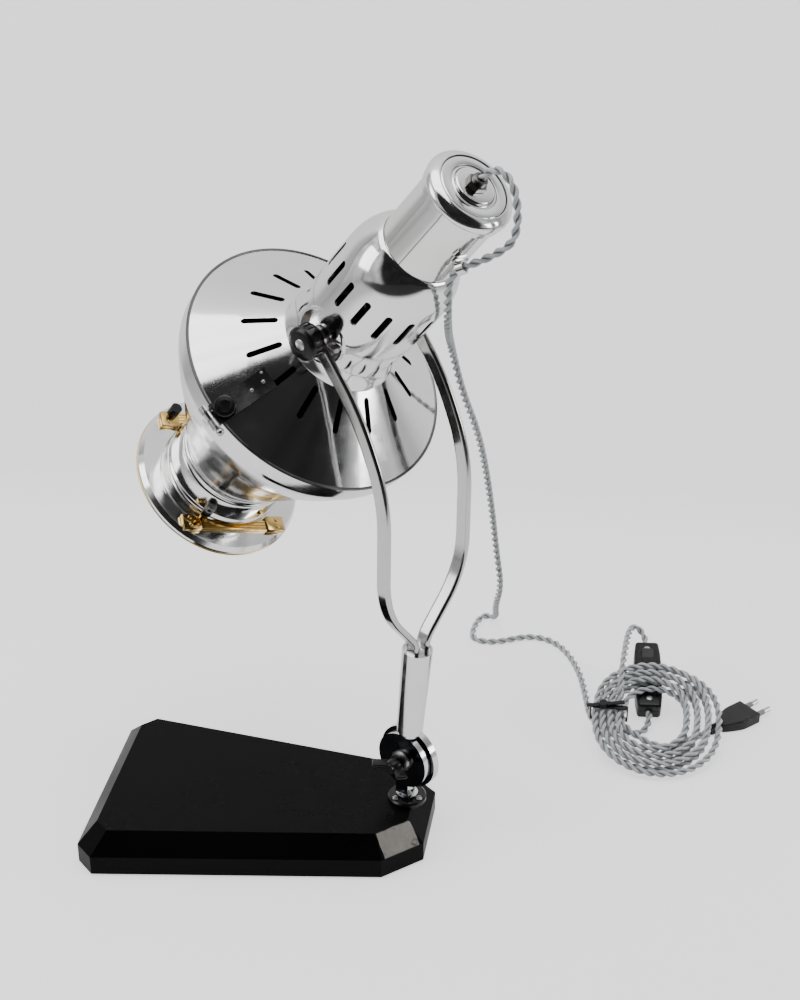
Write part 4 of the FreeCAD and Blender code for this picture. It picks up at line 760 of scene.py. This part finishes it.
bowl = turned("vented_bowl", [
    (28.9, -87.4), (30.4, -86.6), (32.6, -83.8), (34.9, -80.0), (36.9, -75.9), (38.6, -71.3), (39.8, -66.4),
    (40.5, -61.0), (40.9, -55.0), (41.0, -46.0), (41.0, -30.0), (40.95, -14.0), (40.7, -4.0), (39.9, 2.6),
    (39.1, 7.2), (38.8, 11.0), (39.0, 15.0), (39.8, 19.6), (41.2, 24.0), (42.7, 27.4), (42.8, 27.9),
    (41.3, 27.9), (38.2, 19.6), (37.2, 11.0), (38.4, 2.6), (39.4, -14.0), (39.4, -46.0), (38.9, -61.0),
    (36.9, -71.3), (33.2, -80.0), (30.0, -84.6), (28.9, -85.6)], PIVOT, BEAM, 144)
VENTS, FIRST_VENT = 15, -16.0
VENT_LENGTH, VENT_WIDTH, VENT_CORNER = 25.4, 5.0, 2.4
bowl_vents = []
for index in range(VENTS):
    turn = FIRST_VENT + 360.0 / VENTS * index
    out = head_way(turn)
    bowl_vents.append(bar("vent_tool", on_head(40.0, turn, -43.5), BEAM, out, (VENT_LENGTH, VENT_WIDTH, 9.0)))
    soften(bowl_vents[-1], VENT_CORNER, 4, 80.0)
cut(bowl, bowl_vents)
finish_piece(bowl, head_alu, "head", ["bowl_housing"], 30.0)

drum = turned("front_drum", [
    (98.7, 66.4), (99.6, 66.4), (100.0, 66.8), (100.0, 78.0), (99.7, 80.4), (98.9, 83.0), (97.6, 86.2),
    (95.2, 91.2), (91.6, 98.4), (88.4, 104.8), (85.7, 110.0), (82.9, 114.8), (79.4, 120.6), (74.6, 129.0),
    (66.4, 145.6), (56.4, 166.0), (49.2, 181.2), (46.0, 188.0), (44.4, 191.4), (44.2, 192.4), (42.9, 192.4),
    (44.8, 187.4), (54.9, 165.6), (64.9, 145.2), (73.1, 128.4), (81.4, 114.2), (84.2, 109.4), (90.2, 97.8),
    (96.2, 85.8), (98.4, 79.6), (98.7, 77.8)], PIVOT, BEAM, 144)
finish_piece(drum, head_alu, "front", ["drum_shell"], 30.0)
collar = turned("ribbed_collar", [
    (37.0, 192.4), (44.0, 192.4), (44.7, 192.9), (45.0, 193.9), (44.9, 195.1), (44.2, 195.9), (43.7, 196.6),
    (43.9, 197.4), (44.7, 197.9), (45.2, 198.8), (45.6, 203.0), (46.0, 209.0), (46.3, 213.2), (46.2, 214.6),
    (46.5, 215.6), (47.3, 216.5), (47.8, 217.6), (47.8, 218.9), (47.2, 219.9), (46.2, 220.3), (42.4, 220.4),
    (41.3, 220.9), (40.6, 221.9), (40.4, 223.2), (40.6, 224.6), (41.4, 225.6), (42.6, 226.1), (37.0, 226.1)],
    PIVOT, BEAM, 128)
finish_piece(collar, head_alu, "front", ["front_collar"], 35.0)
brass_edge = turned("brass_edge", [
    (60.8, 232.3), (67.2, 232.3), (67.6, 232.5), (67.7, 233.0), (67.3, 233.5), (60.8, 233.5)], PIVOT, BEAM, 128)
finish_piece(brass_edge, brass, "front", ["brass_ring"])
rim_seam = turned("rim_seam", [
    (98.6, 65.0), (99.6, 64.1), (100.6, 64.2), (101.2, 64.9), (101.1, 65.8), (99.9, 66.05)], PIVOT, BEAM, 128)
finish_piece(rim_seam, dark_steel, "head")
# painted shade: a dark ring in the joint of cap and sleeve stands in for the shade in the gap
cap_gap_shade = turned("cap_gap_shade", [
    (29.9, -146.7), (30.7, -146.75), (31.0, -146.45), (30.7, -146.15), (29.9, -146.2)], PIVOT, BEAM, 96)
finish_piece(cap_gap_shade, dark_steel, "head")

# Grips: side knobs, then the thumb screw of the rim hinge; the knob of the upper rail stays the source's
for hand, name, stands in ((1.0, "left_grip", "pivot_knob_left"), (-1.0, "right_grip", "pivot_knob_right")):
    grip_axis = SIDE * hand
    knob = fluted(name, [
        (4.05, 47.4), (11.4, 47.4), (12.3, 48.2), (12.6, 49.2), (12.6, 56.4), (12.0, 58.2), (10.4, 59.6),
        (8.4, 60.2), (4.6, 60.3), (4.2, 59.9), (4.05, 59.0)], PIVOT, grip_axis, 18, 0.7, 48.6, 57.0)
    cap_button = turned(name + "_button", [
        (0.0, 56.8), (4.0, 56.8), (4.0, 59.9), (3.4, 60.3), (0.0, 60.4)], PIVOT, grip_axis, 32, closed=False)
    body = stands.replace("pivot_", "")
    finish_piece(knob, black_knob, body, [stands], 30.0)
    finish_piece(cap_button, steel, body)

# Thumb screw of the rim hinge, and the hinge's knuckles with their wound look
SPRING_PITCH = 1.15
CONE_SMALL, CONE_SMALL_AT = 43.2, 28.0
CONE_LARGE, CONE_LARGE_AT = 100.0, 65.0
LEAF_REACH = 61.0
SLOPE = math.atan2(CONE_LARGE_AT - CONE_SMALL_AT, CONE_LARGE - CONE_SMALL)
LEAF_WAY = SIDE * math.cos(SLOPE) + BEAM * math.sin(SLOPE)
LEAF_OUT = SIDE * math.sin(SLOPE) - BEAM * math.cos(SLOPE)
thumb_place = head_point(CONE_SMALL, 0.0, CONE_SMALL_AT) + LEAF_WAY * LEAF_REACH * MM
thumb = fluted("hinge_thumb_screw", [
    (0.05, 1.5), (6.0, 1.5), (6.3, 1.9), (7.6, 2.4), (7.6, 6.4), (7.0, 7.2), (4.4, 7.5), (3.8, 6.7),
    (0.05, 6.6)], thumb_place, LEAF_OUT, 12, 0.55, 2.6, 6.2)
finish_piece(thumb, black_knob, "head", ["hinge_knob"], 30.0)
knuckle_centre = head_point(106.0, 0.0, 66.15)
for name, low, high in (("spring_low", -9.0, -2.2), ("spring_high", 4.2, 9.0)):
    coils = int((high - low) / SPRING_PITCH)
    ridges = [(1.7, low)]
    for index in range(coils):
        start = low + index * (high - low) / coils
        ridges += [(3.45, start + 0.05), (3.95, start + 0.35), (3.95, start + 0.75), (3.45, start + 1.0)]
    ridges.append((1.7, high))
    finish_piece(turned(name, ridges, knuckle_centre, LIFT, 32), chrome, "head")

# Brass rails: a grooved bar between two screwed end blocks, on the back of the flange
RAIL_LOW = 226.1
RAIL_ACROSS, BLOCK_ACROSS = 46.3, 44.9
BLOCK_ALONG = 36.0


def rail_point(turn, across, along, beam):
    way_out = head_way(turn)
    way_along = LIFT * math.cos(math.radians(turn)) - SIDE * math.sin(math.radians(turn))
    return PIVOT + (way_out * across + way_along * along + BEAM * beam) * MM, way_out, way_along


for turn, place in ((-63.2, "lower"), (116.8, "upper")):
    middle, way_out, way_along = rail_point(turn, RAIL_ACROSS, 0.0, RAIL_LOW - 1.6)
    rail = bar("rail_bar_" + place, middle, way_along, BEAM, (58.0, 8.6, 3.2))
    soften(rail, 0.5)
    grooves = [bar("groove_tool", rail_point(turn, RAIL_ACROSS + offset, 0.0, RAIL_LOW - 3.2)[0], way_along,
                   BEAM, (70.0, 0.8, 1.4)) for offset in (-2.1, 0.3, 2.5)]
    cut(rail, grooves)
    finish_piece(rail, brass, "front", ["slide_rail_" + place], 30.0)
    for hand in (1.0, -1.0):
        spot = rail_point(turn, BLOCK_ACROSS, hand * BLOCK_ALONG, RAIL_LOW - 2.2)[0]
        end_block = bar("rail_end_%s_%d" % (place, hand > 0), spot, way_along, BEAM, (15.0, 12.4, 4.4))
        soften(end_block, 0.6)
        finish_piece(end_block, brass, "front", smooth=30.0)
        for offset in (-3.0, 3.0):
            seat = rail_point(turn, BLOCK_ACROSS + offset, hand * (BLOCK_ALONG + 1.5), RAIL_LOW - 4.4)[0]
            slotted_screw("rail_screw_%s_%d_%d" % (place, hand > 0, offset > 0), seat, -BEAM, 1.7, 1.1,
                          way_along + way_out * 0.4, brass, "front")

# Slotted screws of the foot, the clip and the switch
FOOT = Vector((HINGE.x, HINGE.y, 0.0))
FOOT_SCREW_CIRCLE, FOOT_SCREW_SEAT = 11.2, 36.8
for index, turn in enumerate((75.0, 185.0, 305.0)):
    angle = math.radians(turn)
    outward = AHEAD * math.cos(angle) + SIDE * math.sin(angle)
    seat = FOOT + (outward * FOOT_SCREW_CIRCLE + UP * FOOT_SCREW_SEAT) * MM
    slotted_screw("foot_screw_%d" % index, seat, UP, 2.4, 1.7, AHEAD + SIDE * index, steel, "base")
for index, turn in enumerate((-69.0, -81.0)):
    slotted_screw("clip_screw_%d" % index, on_head(30.3, turn, -111.5), head_way(turn), 1.5, 1.0, BEAM,
                  chrome, "head")

# Wing nut: a black turned hub with two rounded wings
hub_low = min((vertex.co - HINGE).dot(SIDE) / MM for vertex in nodes["wing_nut"].data.vertices)
hub = turned("wing_hub", [
    (4.1, hub_low), (6.6, hub_low), (6.8, hub_low + 0.8), (5.8, hub_low + 6.4), (5.0, hub_low + 8.4),
    (4.1, hub_low + 8.6)], HINGE, SIDE, 40)
finish_piece(hub, black_knob, "wing", ["wing_nut"])
for index, hand in enumerate((1.0, -1.0)):
    middle = HINGE + (AHEAD * hand * 9.6 + SIDE * (hub_low + 8.2)) * MM
    wing = bar("wing_blade_%d" % index, middle, AHEAD * hand * 0.62 + SIDE * 0.52, SIDE, (14.0, 3.4, 9.0))
    soften(wing, 1.6, 4)
    finish_piece(wing, black_knob, "wing")

# Catch on the collar: a rounded dark block with an eye
CATCH_OUT = head_way(-30.0)
catch = bar("catch_body", head_point(0.0, 0.0, 209.0) + CATCH_OUT * 49.3 * MM, BEAM, CATCH_OUT,
            (12.0, 8.0, 5.6))
soften(catch, 1.3, 3)
finish_piece(catch, dark_steel, "front", ["catch_block"])
eye = turned("catch_eye", [(1.5, -0.9), (3.1, -0.9), (3.4, 0.0), (3.1, 0.9), (1.5, 0.9)],
             head_point(0.0, 0.0, 205.0) + CATCH_OUT * 52.6 * MM, CATCH_OUT, 28)
finish_piece(eye, dark_steel, "front")

# In-line switch: a long case in two halves, narrower at its ends, with the source's rocker in its top
CASE_SIZE = (73.6, 23.6, 16.6)
CASE_STRAIGHT, CASE_NARROWING = 0.55, 0.16
SWITCH_UP = (UP - SWITCH_AXIS * UP.dot(SWITCH_AXIS)).normalized()
SWITCH_SIDE = SWITCH_UP.cross(SWITCH_AXIS)
switch_middle = (SWITCH_NEAR + SWITCH_FAR) / 2.0 * MM
case = bar("switch_case", switch_middle, SWITCH_AXIS, SWITCH_UP, CASE_SIZE)
edit(case)
bpy.ops.mesh.select_all(action="SELECT")
bpy.ops.mesh.subdivide(number_cuts=5)
done()
for vertex in case.data.vertices:
    arm = vertex.co - switch_middle
    along = abs(arm.dot(SWITCH_AXIS)) / (CASE_SIZE[0] / 2.0 * MM)
    pull = CASE_NARROWING * max(0.0, along - CASE_STRAIGHT) / (1.0 - CASE_STRAIGHT)
    vertex.co = vertex.co - SWITCH_SIDE * arm.dot(SWITCH_SIDE) * pull
soften(case, 2.6, 4, 60.0)
well = bar("switch_well", switch_middle + SWITCH_UP * 8.3 * MM, SWITCH_AXIS, SWITCH_UP, (23.0, 12.6, 5.0))
cut(case, [well])
joint_line = bar("joint_tool", switch_middle + SWITCH_UP * 1.0 * MM, SWITCH_AXIS, SWITCH_UP, (90.0, 40.0, 0.4))
inner_case = bar("joint_keep", switch_middle, SWITCH_AXIS, SWITCH_UP, (72.4, 21.0, 14.0))
cut(joint_line, [inner_case])
cut(case, [joint_line])
finish_piece(case, black_cable_part, "base", ["switch_body"], 30.0)
for index, offset in enumerate((-28.0, 28.0)):
    slotted_screw("switch_screw_%d" % index, switch_middle + SWITCH_AXIS * offset * MM + SWITCH_UP * 8.2 * MM,
                  SWITCH_UP, 2.6, 0.9, SWITCH_AXIS + SWITCH_SIDE * (index + 0.3), steel, "base")

# Plug: a rounded two-pin body that narrows to the cable, with sleeved pins
SHELL_SIZE = (36.6, 24.6, 9.4)
SHELL_STRAIGHT, SHELL_NARROWING = 0.45, 0.60
PIN_OFFSET = 7.0
PLUG_SIDE = UP.cross(PLUG_BACK)
plug_face = PLUG_FACE * MM
shell = bar("plug_shell", plug_face + PLUG_BACK * SHELL_SIZE[0] / 2.0 * MM, PLUG_BACK, UP, SHELL_SIZE)
edit(shell)
bpy.ops.mesh.select_all(action="SELECT")
bpy.ops.mesh.subdivide(number_cuts=7)
done()
for vertex in shell.data.vertices:
    arm = vertex.co - plug_face
    along = arm.dot(PLUG_BACK) / (SHELL_SIZE[0] * MM)
    pull = SHELL_NARROWING * max(0.0, (along - SHELL_STRAIGHT) / (1.0 - SHELL_STRAIGHT)) ** 1.4
    vertex.co = vertex.co - PLUG_SIDE * arm.dot(PLUG_SIDE) * pull - UP * arm.dot(UP) * pull * 0.25
soften(shell, 2.4, 4, 60.0)
finish_piece(shell, black_cable_part, "base", ["plug_body"], 30.0)
collar_rings = [(3.05, 35.0), (4.4, 35.0)]
for index in range(4):
    start = 37.0 + index * 2.6
    collar_rings += [(4.4, start), (4.4, start + 1.3), (3.7, start + 1.6), (3.7, start + 2.3)]
collar_rings += [(3.7, 48.0), (3.05, 48.1)]
relief = turned("plug_relief", collar_rings, plug_face, PLUG_BACK, 32)
finish_piece(relief, black_cable_part, "base")
pin_sleeves = []
for index, hand in enumerate((1.0, -1.0)):
    pin_sleeve = turned("pin_sleeve_%d" % index, [(2.2, -9.0), (2.38, -8.8), (2.38, 0.4), (2.2, 0.4)],
                        plug_face + PLUG_SIDE * hand * PIN_OFFSET * MM, PLUG_BACK, 28)
    pin_sleeves.append(finish_piece(pin_sleeve, pin_cover, "base"))

# The plug's pieces in a list, which nothing uses
[shell, relief, nodes["plug_pin_left"], nodes["plug_pin_right"]] + pin_sleeves

# Floor, wall, lamps and surroundings
TO_VIEWER = Vector((-VIEW.x, -VIEW.y, 0.0)).normalized()
ACROSS = Vector((-TO_VIEWER.y, TO_VIEWER.x, 0.0))
STAGE_CENTRE = Vector((-0.12, 0.0, 0.0))
REACH, WALL_AT, WALL_HEIGHT, BEND = 3.0, 0.45, 2.6, 0.05


def paper(name, colour, glow):
    # matt paper: it keeps the shadow, and the camera, glossy metal and glass see it a little paler
    graph = Graph(name)
    seen = graph.add("ShaderNodeLightPath", output="Is Camera Ray")
    mirrored = graph.add("ShaderNodeLightPath", output="Is Glossy Ray")
    through = graph.add("ShaderNodeLightPath", output="Is Transmission Ray")
    place = graph.place().less(STAGE_CENTRE)
    beyond = place.along(TO_VIEWER).band(0.62, 0.95)
    aside = place.along(ACROSS).math("ABSOLUTE").band(0.50, 1.20) * 0.55
    dark = beyond.math("MAXIMUM", aside) * mirrored
    tone = graph.blend(graph.noise(1.4, 2.0, 0.5), colour, tuple(value * 0.96 for value in colour))
    tone = graph.blend(dark, tone, (0.02, 0.02, 0.02))
    shown = (seen + (mirrored + through) * 0.42 * (1.0 - dark)).clipped()
    # clear from its back, so that a view from there sees the lamp
    front = 1.0 - graph.add("ShaderNodeNewGeometry", output="Backfacing")
    glow = graph.blend(shown, (0.0, 0.0, 0.0), glow)
    return graph.surface(base_color=tone, roughness=0.9, emission_color=glow, emission_strength=1.0,
                         alpha=front)


def paper_sweep():
    # a pale sheet that lies flat under the lamp and turns up into a wall behind it
    skew = Matrix.Rotation(math.radians(-5.0), 3, "Z")
    away = skew @ -TO_VIEWER
    across = skew @ ACROSS
    profile = [(-REACH, 0.0), (WALL_AT, 0.0)]
    for step in range(1, 9):
        angle = math.radians(90.0 * step / 8.0)
        profile.append((WALL_AT + BEND * math.sin(angle), BEND * (1.0 - math.cos(angle))))
    profile.append((WALL_AT + BEND, WALL_HEIGHT))
    mesh = bpy.data.meshes.new("paper_sweep")
    shape = bmesh.new()
    rows = []
    for run, height in profile:
        middle = STAGE_CENTRE + away * run + UP * height
        rows.append([shape.verts.new(middle + across * wide) for wide in (-REACH, REACH)])
    for low, high in zip(rows[:-1], rows[1:]):
        face = shape.faces.new((low[0], low[1], high[1], high[0]))
        face.smooth = True
    bmesh.ops.recalc_face_normals(shape, faces=shape.faces)
    shape.faces.ensure_lookup_table()
    if shape.faces[0].normal.z < 0.0:
        bmesh.ops.reverse_faces(shape, faces=shape.faces)
    shape.to_mesh(mesh)
    shape.free()
    mesh.materials.append(paper("sheet_paper", (0.80, 0.80, 0.803), (1.05, 1.05, 1.055)))
    sheet = bpy.data.objects.new("paper_sweep", mesh)
    bpy.context.scene.collection.objects.link(sheet)


paper_sweep()


def soft_light(name, place, aim, size, power):
    data = bpy.data.lights.new(name, "AREA")
    data.shape = "RECTANGLE"
    data.size, data.size_y = size
    data.energy = power
    lamp = bpy.data.objects.new(name, data)
    bpy.context.scene.collection.objects.link(lamp)
    lamp.location = place
    lamp.rotation_euler = (Vector(aim) - Vector(place)).to_track_quat("-Z", "Y").to_euler()


soft_light("top_soft", (-0.1, -0.1, 2.2), (-0.1, 0.0, 0.1), (1.8, 1.8), 26.0)
soft_light("left_soft", (1.75, 0.75, 1.35), (0.0, 0.0, 0.25), (1.0, 1.3), 13.0)
soft_light("right_soft", (-1.9, 0.0, 0.62), (-0.1, 0.0, 0.4), (0.7, 0.55), 7.0)


def surroundings():
    # pale studio all round, with the unlit side of the room behind the viewer
    world = bpy.data.worlds.new("studio")
    bpy.context.scene.world = world
    world.use_nodes = True
    graph = Graph.__new__(Graph)
    graph.tree = world.node_tree
    graph.tree.nodes.clear()
    way = graph.add("ShaderNodeTexCoord", output="Generated")
    height = way.along((0.0, 0.0, 1.0))
    room_side = Vector((-0.33, 0.88, 0.34)).normalized()
    unlit = way.along(tuple(room_side)).band(0.52, 0.68)
    haze = graph.noise(3.4, 3.0, 0.55, way).band(0.36, 0.66, 0.66, 1.12)
    beams = way.along((0.86, 0.35, 0.37)).math("ABSOLUTE").band(0.035, 0.012)
    posts = way.along((0.42, -0.90, 0.12)).math("ABSOLUTE").band(0.05, 0.02)
    frames = beams.math("MAXIMUM", posts) * 0.62
    room = ((1.0 - unlit) * height.band(-0.2, 0.75, 0.62, 0.92) * (1.0 - frames) + unlit * 0.022) * haze
    seen = graph.add("ShaderNodeLightPath", output="Is Camera Ray")
    clear = graph.add("ShaderNodeLightPath", output="Is Transmission Ray")
    shown = (seen + clear).clipped()
    dim = graph.add("ShaderNodeBackground", {}, {"Color": (0.99, 0.99, 1.0, 1.0), "Strength": room})
    pale = graph.add("ShaderNodeBackground", {}, {"Color": (0.68, 0.68, 0.685, 1.0), "Strength": 1.0})
    both = graph.add("ShaderNodeMixShader", {}, {0: shown, 1: dim, 2: pale})
    output = graph.tree.nodes.new("ShaderNodeOutputWorld")
    graph.tree.links.new(both.socket, output.inputs["Surface"])


surroundings()
